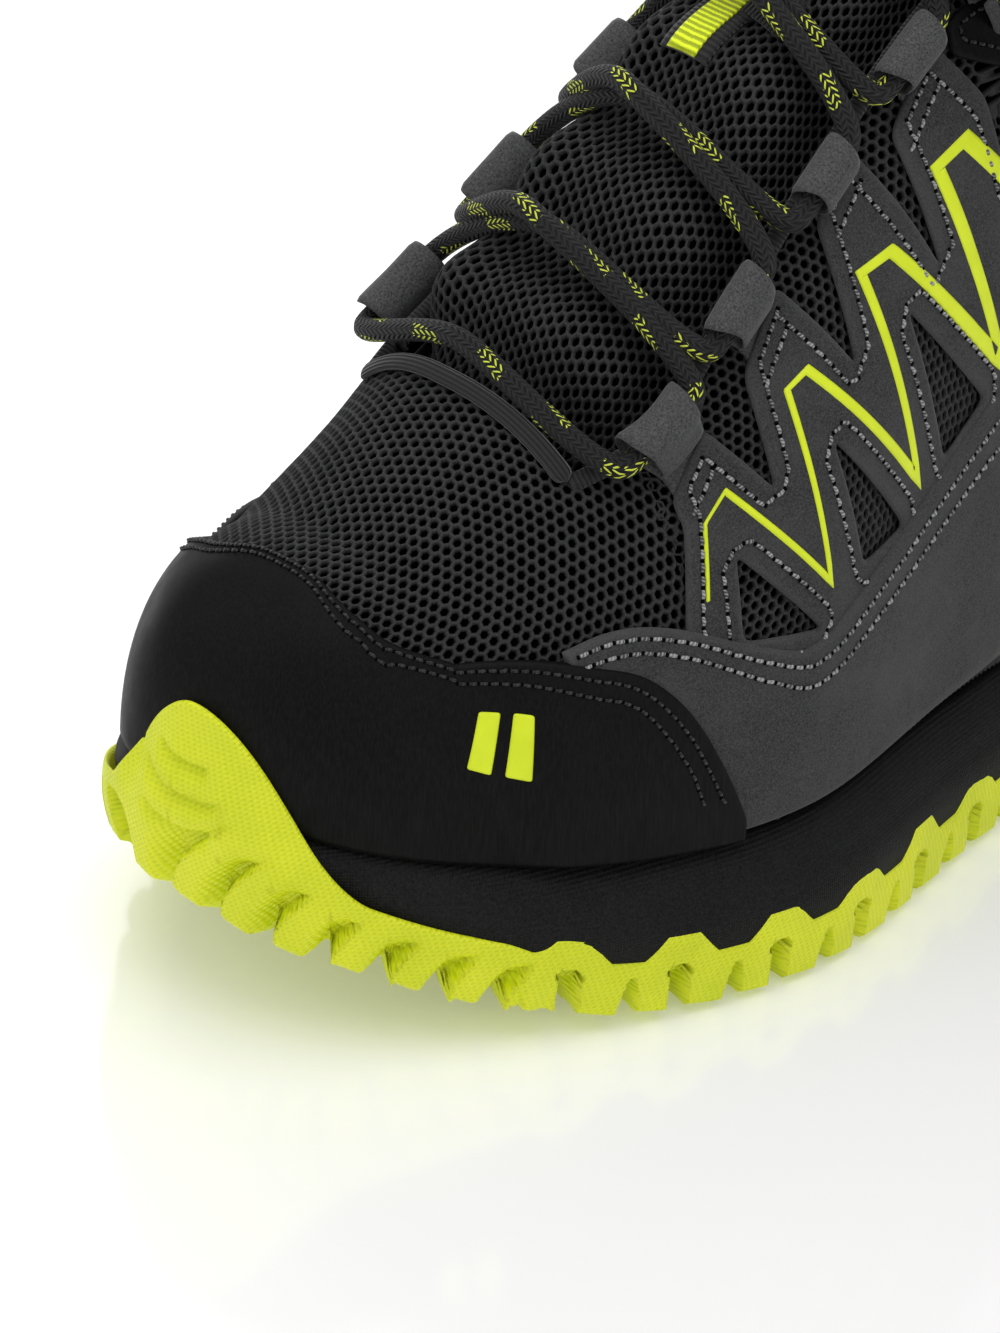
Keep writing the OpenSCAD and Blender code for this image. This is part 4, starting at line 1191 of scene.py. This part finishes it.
def rounded(corners, step=0.8, passes=5):
    """A closed outline with evenly spaced points and softened corners."""
    spots = even(np.vstack([corners, corners[:1]]), step)[:-1]
    for _ in range(passes):
        spots = 0.5 * spots + 0.25 * (np.roll(spots, 1, 0) + np.roll(spots, -1, 0))
    return spots


def inward(loop):
    """Unit normals of a closed plane loop, pointing to its inside."""
    d = unit(np.roll(loop, -1, 0) - np.roll(loop, 1, 0))
    x, y = loop.T
    turn = np.sign(np.sum(x * np.roll(y, -1) - np.roll(x, -1) * y))
    return np.stack([-d[:, 1], d[:, 0]], -1) * turn


def inner_line(loops, k, inset):
    """Loop k moved into the sheet; the first loop is the outline and the others are holes."""
    return loops[k] + inward(loops[k]) * (inset if k == 0 else -inset)


def inside(spots, loops):
    """Even-odd test of plane points against several closed loops."""
    odd = np.zeros(len(spots), bool)
    batch = 2000
    for loop in loops:
        a, b = loop, np.roll(loop, -1, 0)
        rise = np.where(np.abs(b[:, 1] - a[:, 1]) < 1e-9, 1e-9, b[:, 1] - a[:, 1])
        slope = (b[:, 0] - a[:, 0]) / rise
        for start in range(0, len(spots), batch):
            x, y = spots[start:start + batch].T[..., None]
            crosses = (a[:, 1] > y) != (b[:, 1] > y)
            left = x < a[:, 0] + (y - a[:, 1]) * slope
            odd[start:start + batch] ^= (crosses & left).sum(1) % 2 == 1
    return odd


def nearest(spots, targets):
    """Distance from each spot to the nearest target, in the plane or in space."""
    tree = KDTree(len(targets))
    for k, place in enumerate(targets):
        tree.insert((*place, 0.0)[:3], k)
    tree.balance()
    return np.array([tree.find((*place, 0.0)[:3])[2] for place in spots])


def sheet(name, outline, finish, holes=(), low=LAY, high=LAY + SKIN, step=0.8, edge=0.8, fill=2.1, passes=5,
          rise=None, flat_edge=False, **more):
    """A thin overlay with a free outline and holes, both lists of chart places (t, v).

    step and fill space the points of its edge and its face, passes rounds its corners, and rise is a
    rule (t, v, distance from the edge) that lifts its face. Returns its outlines in the plane.
    """
    lay = np.array if flat_edge else straight
    loops = [rounded(to_plane(lay(corners)), step, passes) for corners in (outline, *holes)]
    border = np.concatenate(loops)
    start = 0
    edges = []
    for loop in loops:
        index = start + np.arange(len(loop))
        edges += np.stack([index, np.roll(index, -1)], -1).tolist()
        start += len(loop)
    rings = np.concatenate([inner_line(loops, k, inset) for k in range(len(loops))
                            for inset in (0.3, 0.8, 1.5)])
    lo, hi = border.min(0), border.max(0)
    steps = (np.arange(lo[0], hi[0], fill), np.arange(lo[1], hi[1], fill * 0.87))
    grid = np.stack(np.meshgrid(*steps, indexing="ij"), -1)
    grid[:, 1::2, 0] += fill / 2
    grid = grid.reshape(-1, 2)
    grid = grid[nearest(grid, border) > 2.4]
    free = np.concatenate([rings, grid])
    free = free[inside(free, loops)]
    free = free[nearest(free, border) > 0.22]
    spots = np.concatenate([border, free])
    verts, _, faces, _, _, _ = delaunay_2d_cdt([Vector(p) for p in spots], edges, [], 0, 1e-5)
    spots = np.array([tuple(p) for p in verts])
    faces = np.array(faces)
    faces = faces[inside(spots[faces].mean(1), loops)]
    used, faces = np.unique(faces, return_inverse=True)
    faces = faces.reshape(-1, 3)
    spots = spots[used]
    t, v = to_chart(spots)
    base, out = dome(t, v), dome_out(t, v)
    fence = dome(*to_chart(border))
    distance = nearest(base, fence)
    k = 0.3 + 0.7 * round_off(distance, edge)
    top = mix(low, high, k) + (rise(t, v, distance) if rise else 0)
    n = len(base)
    points = np.concatenate([base + out * top[:, None], base + out * low])
    rim_ = border_edges(np.concatenate([faces[:, [0, 1]], faces[:, [1, 2]], faces[:, [2, 0]]]))
    walls = np.stack([rim_[:, 1], rim_[:, 0], rim_[:, 0] + n, rim_[:, 1] + n], -1)
    put(name, points, [faces, faces[:, ::-1] + n, walls], finish, uv=np.tile(spots, (2, 1)), **more)
    return loops


def stitches(name, places, lift, finish, pitch=2.35, long=1.75, radius=0.36):
    """Sewn stitches along chart paths: small arcs of thread, with near-black dabs of painted shade for the
    needle holes between them.
    """
    centres, tangents, normals = [], [], []
    for t, v in places:
        base, out = dome(t, v), dome_out(t, v)
        path = base + out * (lift(t, v) if callable(lift) else lift + 0 * t)[:, None]
        length = reach(path)
        at = np.arange(pitch / 2, length[-1], pitch)
        if len(at) < 2:
            continue
        centres.append(sample(path, at, length))
        tangents.append(unit(sample(path, at + 0.4, length) - sample(path, at - 0.4, length)))
        normals.append(unit(sample(out, at, length)))
    centres, tangents, normals = (np.concatenate(a) for a in (centres, tangents, normals))
    aside = unit(np.cross(normals, tangents))
    aslant = RNG.normal(0, 0.07, len(centres))[:, None]
    tangents = unit(tangents + aside * (aslant + 0.1))
    aside = unit(np.cross(normals, tangents))
    x = np.array([-1, -0.86, -0.45, 0, 0.45, 0.86, 1.0])
    thick = np.array([0.35, 0.8, 1, 1, 1, 0.8, 0.35]) * radius
    height = np.array([-0.32, -0.12, 0.16, 0.24, 0.16, -0.12, -0.32])
    angle = np.linspace(0, 2 * math.pi, 6, endpoint=False)
    a = (x * long / 2)[:, None] + 0 * angle
    b = thick[:, None] * np.cos(angle)
    c = thick[:, None] * np.sin(angle)

    def placed(spots, a, b, c):
        ways = ((tangents, a), (aside, b), (normals, c))
        shape = sum(way[:, None, None] * part[..., None] for way, part in ways)
        return (spots[:, None, None] + shape).reshape(-1, 3)

    rows, sides = a.shape
    end = np.arange(sides)[None, :]
    shift = (np.arange(len(centres)) * rows * sides)[:, None, None]
    faces = [(part[None] + shift).reshape(-1, part.shape[1])
             for part in (grid_faces(rows, sides, ring=True), end[:, ::-1], end + (rows - 1) * sides)]
    tone = np.repeat(RNG.uniform(0.2, 0.8, len(centres)), rows * sides)
    between = centres + tangents * pitch / 2
    # Painted shade: a flat near-black dab between each two stitches stands in for the shade in the needle
    # hole.
    put(name + "_hole_shade", placed(between, a * 0.36, b * 1.15, 0.3 * c + 0.02), faces, HOLE_SHADE, tidy=False)
    uv = np.tile(chart_of(a, angle / (2 * math.pi)), (len(centres), 1))
    put(name, placed(centres, a, b, height[:, None] + c), faces, finish, uv=uv, shade=tone, tidy=False)


def stitch_paths(loops, inset, test=None):
    """Paths that follow sheet outlines at an inset, cut where the outline is too tight for them."""
    border = np.concatenate(loops)
    paths = []
    for k in range(len(loops)):
        line = inner_line(loops, k, inset)
        line = np.vstack([line, line[:1]])
        good = inside(line, loops) & (nearest(line, border) > inset * 0.86)
        t, v = to_chart(line)
        if test:
            good &= test(t, v)
        runs = np.split(np.arange(len(line)), np.where(np.diff(good.astype(int)) != 0)[0] + 1)
        paths += [(t[run], v[run]) for run in runs if good[run[0]] and len(run) > 6]
    return paths


def places_on(side, places):
    return [(on_side(side, t), v) for t, v in places]


# The strap overlay: the tips of its fingers, the notches between them, its windows, and its green line
FINGERS = [((5.54, 46.5), (5.31, 51)), ((5.09, 51.5), (4.85, 56)), ((4.63, 56.5), (4.43, 59)),
           ((4.27, 54.5), (4.04, 58))]
NOTCHES = [(5.11, 36.5), (4.62, 38.5), (4.15, 36.5)]
WINDOWS = [((5.35, 33.6), (5.39, 23), (4.96, 17.6)), ((4.79, 34.6), (4.69, 19.5), (4.42, 18.4)),
           ((4.335, 36.8), (4.17, 19.6), (3.92, 20.4))]
STRIPE = [(5.527, 31), (5.447, 40.4), (5.322, 41.9), (4.902, 21.6), (4.95, 44.9), (4.845, 44.4),
          (4.345, 21.1), (4.525, 46.2), (4.38, 44.3), (3.835, 21.8), (4.12, 45.8), (3.98, 44.8), (3.55, 28)]


def strap_outline():
    """Up the front edge, over the fingers, down the rear edge and back along the sole."""
    line = [(5.7, 14), (5.66, 22), (5.65, 29), (5.53, 42)]
    for k, (front, rear) in enumerate(FINGERS):
        line += [front, rear]
        if k < 3:
            line.append(NOTCHES[k])
    line += [(3.86, 46), (3.78, 36), (3.45, 27), (3.2, 20), (3.2, 8), (4.4, 8)]
    return line


def make_straps(side, word):
    loops = sheet(f"strap_{word}", places_on(side, strap_outline()), NUBUCK,
                  holes=[places_on(side, window) for window in WINDOWS],
                  rise=lambda t, v, d: -0.16 * np.exp(-((d - 2.4) / 0.5) ** 2),
                  stands_for=f"strap_overlay_{word}", slot="nubuck_grey")
    places = stitch_paths(loops, 2.4, lambda t, v: v > guard_top(t) - 1)
    share = np.linspace(0.14, 0.86, 12)
    for front, rear in FINGERS:
        t = mix(front[0], rear[0], share) - 0.02
        places.append((on_side(side, t), mix(front[1], rear[1], share) - 4.6))
    stitches(f"strap_stitching_{word}", places, LAY + SKIN + 0.04, THREAD_GREY)


def make_stripe(side, word):
    """The zigzag line, which widens from the toe end to the heel end, with mitred corners."""
    spots = to_plane(straight(STRIPE, looped=False))
    n = len(spots)
    half = 0.3 + 0.72 * np.linspace(0, 1, n) ** 1.1
    d = unit(np.diff(spots, axis=0))
    before, after = np.vstack([d[:1], d]), np.vstack([d, d[-1:]])
    mitre = unit(before + after)
    across_ = np.stack([-mitre[:, 1], mitre[:, 0]], -1)
    spread_ = 1 / np.maximum(np.abs((across_ * np.stack([-before[:, 1], before[:, 0]], -1)).sum(-1)), 0.35)
    offset = across_ * (half * spread_)[:, None]
    outline = np.concatenate([spots + offset, (spots - offset)[::-1]])
    places = places_on(side, zip(*to_chart(outline)))
    sheet(f"zigzag_{word}", places, FILM, low=LAY + SKIN - 0.05, high=LAY + SKIN + 0.28, step=0.45, edge=0.2,
          passes=0, fill=3, flat_edge=True, stands_for=f"stripe_{word}", slot="film_green")


GUARD_TOP = LAY + SKIN + GAP + SKIN * 0.6


def lip(v, top, wide=2.2):
    """A raised band just inside the upper edge."""
    return 0.35 * np.exp(-(((top - v) * UPRIGHT - 2.2) / wide) ** 2)


def guard_lift(t, v):
    return GUARD_TOP + lip(v, guard_top(t))


def make_mudguard(side, word):
    ends = sorted(on_side(side, end) for end in (1.3, 6.25))
    layer(f"mudguard_side_{word}", *ends, 300, flat(1.0), guard_top, 40, flat(0.1), guard_lift, NUBUCK,
          edge=1.0, stands_for=f"mudguard_{word}", slot="nubuck_grey")
    t = np.linspace(1.5, 6.2, 400)
    places = [(on_side(side, t), guard_top(t) - drop / UPRIGHT) for drop in (2.3, 5.4)]
    stitches(f"mudguard_stitching_{word}", places, lambda t, v: guard_lift(t, v) + 0.04, THREAD_GREY)


def cap_lift(t):
    """The toe cap climbs over the front ends of the mudguards."""
    return LAY + 1.5 * (1 - smooth(fold(t), 6.3, 6.75))


def cap_face(t, v):
    return cap_lift(t) + SKIN + 0.5 * lip(v, cap_top(t), 3)


def make_toe_cap():
    layer("toe_cap_skin", 5.42, 12.58, 420, flat(0.2), cap_top, 60, flat(0.05), cap_face, TOE, edge=1.1,
          stands_for="toe_cap", slot="toe_synthetic")
    t = np.linspace(5.5, 12.5, 900)
    slope = np.abs(np.gradient(cap_top(t) * UPRIGHT, np.interp(t, T_STEPS, ARC) * SHRINK))
    for drop in (2.3, 5.2):
        v = cap_top(t) - drop * np.sqrt(1 + slope**2) / UPRIGHT
        good = v > 5
        stitches(f"toe_cap_stitching_{drop:.0f}", [(t[good], v[good])], lambda t, v: cap_face(t, v) + 0.04,
                 THREAD_BLACK, **FINE)


def make_mark():
    """Two plain slanted bars on the outer side of the toe cap."""
    bars = ([(6.86, 19), (6.73, 17.4), (6.625, 29.4), (6.73, 31)],
            [(6.66, 16.6), (6.53, 15), (6.47, 27), (6.565, 28.6)])
    for k, outline in enumerate(bars):
        sheet(f"toe_bar_{k + 1}", outline, FILM, low=LAY + SKIN - 0.1, high=LAY + SKIN + 0.3, step=0.4,
              edge=0.3, passes=2, fill=3, rise=lambda t, v, d: cap_lift(t) - LAY, slot="film_green",
              stands_for="toe_mark" if k == 0 else None)


def make_ankle_patch(side, word):
    outline = [(3.97, 58), (3.98, 54), (3.74, 46), (3.3, 34), (3.05, 22), (3.05, 25.5), (3.35, 35), (3.6, 48),
               (3.8, 56.5)]
    loops = sheet(f"ankle_patch_skin_{word}", places_on(side, outline), TOE, low=LAY + 0.1,
                  high=LAY + SKIN + 0.35, stands_for=f"ankle_patch_{word}", slot="toe_synthetic")
    stitches(f"ankle_stitching_{word}", stitch_paths(loops, 1.8), LAY + SKIN + 0.38, THREAD_BLACK, **FINE)


# ---- lacing -------------------------------------------------------------------------------------
ROWS = 5
HANDLE = 6
KNOT_T = row_t(ROWS - 1) + 0.02


def tab_middle(t):
    """Middle of the roll of a lace tab at t, beside the edge of the throat."""
    return on_dome(t, rim(t) - 1, LOOP_LIFT)


def loop_dir(i, side):
    """Along the throat toward the heel."""
    t = on_side(side, row_t(i))
    s = 0.1 if side else -0.1
    return unit(tab_middle(t + s) - tab_middle(t - s))


def loop_end(i, side, s):
    """Where the lace enters (s = -1) or leaves (s = 1) the tab of row i."""
    return tab_middle(on_side(side, row_t(i))) + loop_dir(i, side) * s * (LOOP_LONG / 2 + 1)


def bend(p0, d0, p1, d1, n=12):
    """A bow from p0 to p1 that leaves and arrives along d0 and d1, without its ends."""
    u = (np.arange(1, n) / n)[:, None]
    w = 1 - u
    return w**3 * p0 + 3 * w * w * u * (p0 + d0) + 3 * w * u * u * (p1 - d1) + u**3 * p1


def through(a, da, m, dm, b, db):
    return [*bend(a, da, m, dm), m, *bend(m, dm, b, db)]


def crossing(i, side, h):
    """Over the tongue from one row to the next, h above it."""
    a, b = loop_end(i, side, 1), loop_end(i + 1, 1 - side, -1)
    m = on_dome((row_t(i) + row_t(i + 1)) / 2, RIDGE, h)
    return through(a, loop_dir(i, side) * HANDLE, m, unit(b - a) * 1.6 * HANDLE, b,
                   loop_dir(i + 1, 1 - side) * HANDLE)


def to_knot(side):
    a = loop_end(ROWS - 1, side, 1)
    m = on_dome(on_side(side, KNOT_T), 74, 7.5)
    dm = unit(KNOT - a) * HANDLE
    return through(a, loop_dir(ROWS - 1, side) * 2.4 * HANDLE, m, dm, KNOT, dm)


def lace_run(side):
    """From the lowest tab of one side, crossing over and over, into the knot."""
    path = []
    for i in range(ROWS):
        s = (i + side) % 2
        path += [loop_end(i, s, -1), loop_end(i, s, 1)]
        path += crossing(i, s, 11.2 if side == i % 2 else 6.7) if i < ROWS - 1 else to_knot(s)
    return path


def first_bar():
    a, b = loop_end(0, 1, -1), loop_end(0, 0, -1)
    m = on_dome(row_t(0) + 0.27, RIDGE, 4.6)
    return through(a, -HANDLE * loop_dir(0, 1), m, 1.6 * HANDLE * unit(b - a), b, HANDLE * loop_dir(0, 0))


def cord(name, path, **more):
    points, faces, uv = tube(even(path, 0.7), LACE_R, sides=20)
    put(name, points, faces, CORD, uv=uv, slot="lace_cord", **more)


def make_lace():
    cord("lace_main", lace_run(1)[::-1] + first_bar() + lace_run(0), stands_for="lace")
    a = np.linspace(0.3, 2 * math.pi * 2.05, 160)
    wrap = np.stack([3.1 * np.cos(a) + 0.5 * np.cos(3 * a), 3.4 * np.sin(a), 2.9 * np.sin(1.5 * a)], -1)
    cord("lace_knot_wraps", KNOT + wrap, stands_for="lace_knot")


BOW = [(0.04, 9, 14), (0.06, 20, 14), (0.04, 34, 12.5), (-0.09, 41, 12), (-0.25, 34, 12.5), (-0.19, 20, 14),
       (-0.06, 9, 14)]
TAIL = [(-0.28, 10, 17), (-0.43, 20, 16), (-0.54, 34, 15), (-0.58, 50, 12)]
INSIDE_KNOT = (0, 3, 10)


def beside_knot(side, spots):
    """Points for spots (t past the knot, degrees below it, lift), on one side of the shoe."""
    dt, drop, h = np.array(spots, float).T
    t = KNOT_T + dt
    return on_dome(on_side(side, t), rim(t) + 24 - drop, h)


def smooth_path(spots, n=12):
    spots = np.array(spots)
    return spline(spots, np.linspace(0, len(spots) - 1.0001, n * len(spots)))


def make_bow(side, word):
    """A bow loop, and a loose end with its tip."""
    cord(f"bow_cord_{word}", smooth_path(beside_knot(side, [INSIDE_KNOT, *BOW, INSIDE_KNOT])),
         body=f"bow_{word}", stands_for=f"bow_loop_{word}")
    cord(f"tail_cord_{word}", smooth_path(beside_knot(side, [INSIDE_KNOT, *TAIL])),
         body=f"tail_{word}", stands_for=f"lace_tail_{word}")
    a, b = beside_knot(side, TAIL[2:])
    share = np.linspace(0, 1, 34)
    path = b + unit(b - a) * mix(0.5, 16.5, share)[:, None]
    radius = 1.7 - 0.25 * smooth(share, 0, 0.15) + 0.2 * np.sin(share * 3.1)
    points, faces, uv = tube(path, radius, sides=20)
    put(f"lace_tip_{word}", points, faces, TIP, body=f"tail_{word}", uv=uv, stands_for=f"aglet_{word}",
        slot="aglet_plastic")


def both_faces(path, half):
    """The two faces of a strip along a flat path; half is half its thickness across its width."""
    d = unit(np.gradient(path, axis=0))
    aside = np.stack([-d[:, 1], d[:, 0]], -1)
    return [path[:, None] + aside[:, None] * (sign * half)[None, :, None] for sign in (1, -1)]


def make_loops(side, word):
    """Folded tabs: each rolls round the lace and runs down under its strap finger."""
    thick = 0.8
    radius = LOOP_R - thick / 2
    parts, base = [], 0
    all_faces = [[], [], []]
    for i in range(ROWS):
        t0 = row_t(i)
        v0 = float(rim(t0)) - 1
        mm_v = np.linalg.norm(dome(t0, v0) - dome(t0, v0 - 2)) / 2
        mm_t = np.linalg.norm(tab_middle(t0 + 0.05) - tab_middle(t0 - 0.05)) / 0.1
        end = (v0 - (FINGERS[i][0][1] + FINGERS[i][1][1]) / 2) * mm_v if i < 4 else 12
        outer = [(end + 2.5, 0.42), (end + 0.5, 0.5), (end - 1.5, 1.0), (mix(radius, end, 0.55), 2.6),
                 (radius * 1.02, LOOP_LIFT - 0.6)]
        turn = np.radians(np.linspace(0, 250, 26))
        roll = [(radius * math.cos(a), LOOP_LIFT + radius * math.sin(a)) for a in turn]
        inner = [(mix(radius, end, 0.3) - 2, 1.4), (mix(radius, end, 0.5), 0.62), (end, 0.2)]
        spots = np.array(outer[:-1] + roll[::3] + inner)
        path = even(spline(spots, np.linspace(0, len(spots) - 1.001, 90)), 0.8)
        share = np.linspace(-1, 1, 15)
        waist = 1 - 0.06 * np.sin(np.clip(reach(path) / 14, 0, 1) * math.pi)
        half = LOOP_LONG / 2 * waist
        slim = mix(1, 0.5, smooth(path[:, 0], end - 9, end))
        edge = np.maximum(round_off((1 - np.abs(share)) * LOOP_LONG / 2, 0.5), 0.25)
        grids = []
        for place in both_faces(path, thick / 2 * edge):
            shift = half[:, None] * share[None, :] * np.where(share[None, :] < 0, slim[:, None], 1)
            t = t0 - shift / mm_t - 0.004 * place[..., 0]
            v = rim(t) - 1 - place[..., 0] / mm_v
            grids.append(on_dome(on_side(side, t), v, place[..., 1]))
        points, faces = slab(*grids)
        parts.append(points)
        for k, part in enumerate(faces):
            all_faces[k].append(part + base)
        base += len(points)
    put(f"lace_tabs_{word}", np.concatenate(parts), [np.concatenate(f) for f in all_faces], TAB,
        stands_for=f"lace_loops_{word}", slot="nubuck_grey")


def make_pull_loop():
    """A strip of webbing, folded over in the middle plane behind the heel."""
    foot = dome(0, rim(0)) - [5.3, 0, 14]
    outer = [(1.2, 0.5), (1.4, 8), (0.3, 20), (1.8, 30), (-1, 34), (-4.6, 34), (-7.2, 30), (-5, 20), (-2, 8),
             (-1.2, 0.5)]
    path = even(smooth_path([(x * 0.95, z) for x, z in outer], 14), 0.7)
    share = np.linspace(-1, 1, 17)
    across_ = share * 7.4
    edge = np.maximum(round_off((1 - np.abs(share)) * 7.5, 0.6), 0.3)
    grids = []
    for place in both_faces(path, 0.75 * edge):
        y = np.broadcast_to(across_, place.shape[:2])
        grids.append(np.stack([place[..., 0], y, place[..., 1]], -1) + foot)
    points, faces = slab(*grids)
    uv = np.tile(chart_of(reach(path)[:, None], across_[None, :]), (2, 1))
    put("pull_webbing", points, faces, WEBBING, body="pull_loop", stands_for="pull_loop", slot="webbing",
        uv=uv)


# ---- putting it together ----------------------------------------------------------------------------
def dress_cad(node, finish):
    """Gives a CAD part that has no visual piece of its own a finish."""
    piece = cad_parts[node]
    piece.data.materials.clear()
    piece.data.materials.append(finish)


make_outsole()
make_midsole()
make_footbed()
make_vamp()
for side_index, side_word in enumerate(SIDES):
    make_quarter(side_index, side_word)
    make_straps(side_index, side_word)
    make_stripe(side_index, side_word)
    make_mudguard(side_index, side_word)
    make_ankle_patch(side_index, side_word)
    make_loops(side_index, side_word)
    make_bow(side_index, side_word)
make_linings()
make_collar()
make_throat_edges()
make_tongue()
make_keeper()
make_toe_cap()
make_mark()
make_lace()
make_pull_loop()
for cad_node, cad_finish in (("insole_board", BOARD), ("toe_puff", STIFFENER), ("heel_counter", STIFFENER),
                             ("centre_lugs", RUBBER)):
    dress_cad(cad_node, cad_finish)


# ---- room, light, camera ----------------------------------------------------------------------------
def make_floor():
    bpy.ops.mesh.primitive_plane_add(size=6, location=(0, 0, -0.0004))
    floor = bpy.context.object
    floor.name = "floor"
    f = Finish("floor_gloss", (0.93, 0.93, 0.93), rough=0.12, level=0.5)
    f.set("Emission Color", (1, 1, 1, 1))
    f.set("Emission Strength", 0.16)
    floor.data.materials.append(f.material)


def make_light(name, place, target, size, power):
    """A soft box."""
    lamp = bpy.data.lights.new(name, "AREA")
    lamp.shape = "RECTANGLE"
    lamp.size, lamp.size_y = size
    lamp.energy = power
    holder = bpy.data.objects.new(name, lamp)
    bpy.context.scene.collection.objects.link(holder)
    holder.location = place
    holder.rotation_euler = (Vector(target) - Vector(place)).to_track_quat("-Z", "Y").to_euler()


def make_world():
    world = bpy.data.worlds.new("white_room")
    world.use_nodes = True
    background = world.node_tree.nodes["Background"]
    background.inputs["Color"].default_value = (1, 1, 1, 1)
    background.inputs["Strength"].default_value = 0.55
    bpy.context.scene.world = world


# The view: a long lens, a metre from the toe, turned by these angles in degrees
AZIMUTH = 46.97
ELEVATION = 29.69
ROLL = 2.86
LENS = 149.86
AIM = (240, 0, 30)
AWAY = 1000


def make_camera():
    azimuth, elevation, roll = (math.radians(a) for a in (AZIMUTH, ELEVATION, ROLL))
    away = np.array([math.cos(elevation) * math.cos(azimuth), math.cos(elevation) * math.sin(azimuth),
                     math.sin(elevation)])
    aside = np.array([-math.sin(azimuth), math.cos(azimuth), 0])
    rise = np.cross(away, aside)
    right = aside * math.cos(roll) + rise * math.sin(roll)
    up = rise * math.cos(roll) - aside * math.sin(roll)
    target = np.array(AIM) - SHIFT
    camera = bpy.data.cameras.new("camera")
    camera.lens = LENS
    camera.shift_x = 0.0626
    camera.shift_y = 0.0806
    camera.clip_start = 0.01
    holder = bpy.data.objects.new("camera", camera)
    bpy.context.scene.collection.objects.link(holder)
    turn = Matrix([[*row] for row in np.stack([right, up, away], 1)]).to_4x4()
    holder.matrix_world = Matrix.Translation((target + AWAY * away) * MM) @ turn
    bpy.context.scene.camera = holder


make_floor()
make_world()
make_light("overhead", (0.15, 0.1, 0.9), (0.05, 0, 0.05), (0.9, 0.9), 3.2)
make_light("rim_back", (-0.35, -0.75, 0.5), (0.05, 0, 0.08), (0.7, 0.5), 2.2)
make_light("key_front", (0.75, -0.35, 0.55), (0.08, 0, 0.05), (0.5, 0.5), 0.7)
make_light("side_soft", (0.1, 0.9, 0.4), (0.05, 0, 0.05), (0.7, 0.4), 0.5)
make_camera()
bpy.context.scene.view_settings.view_transform = "Standard"
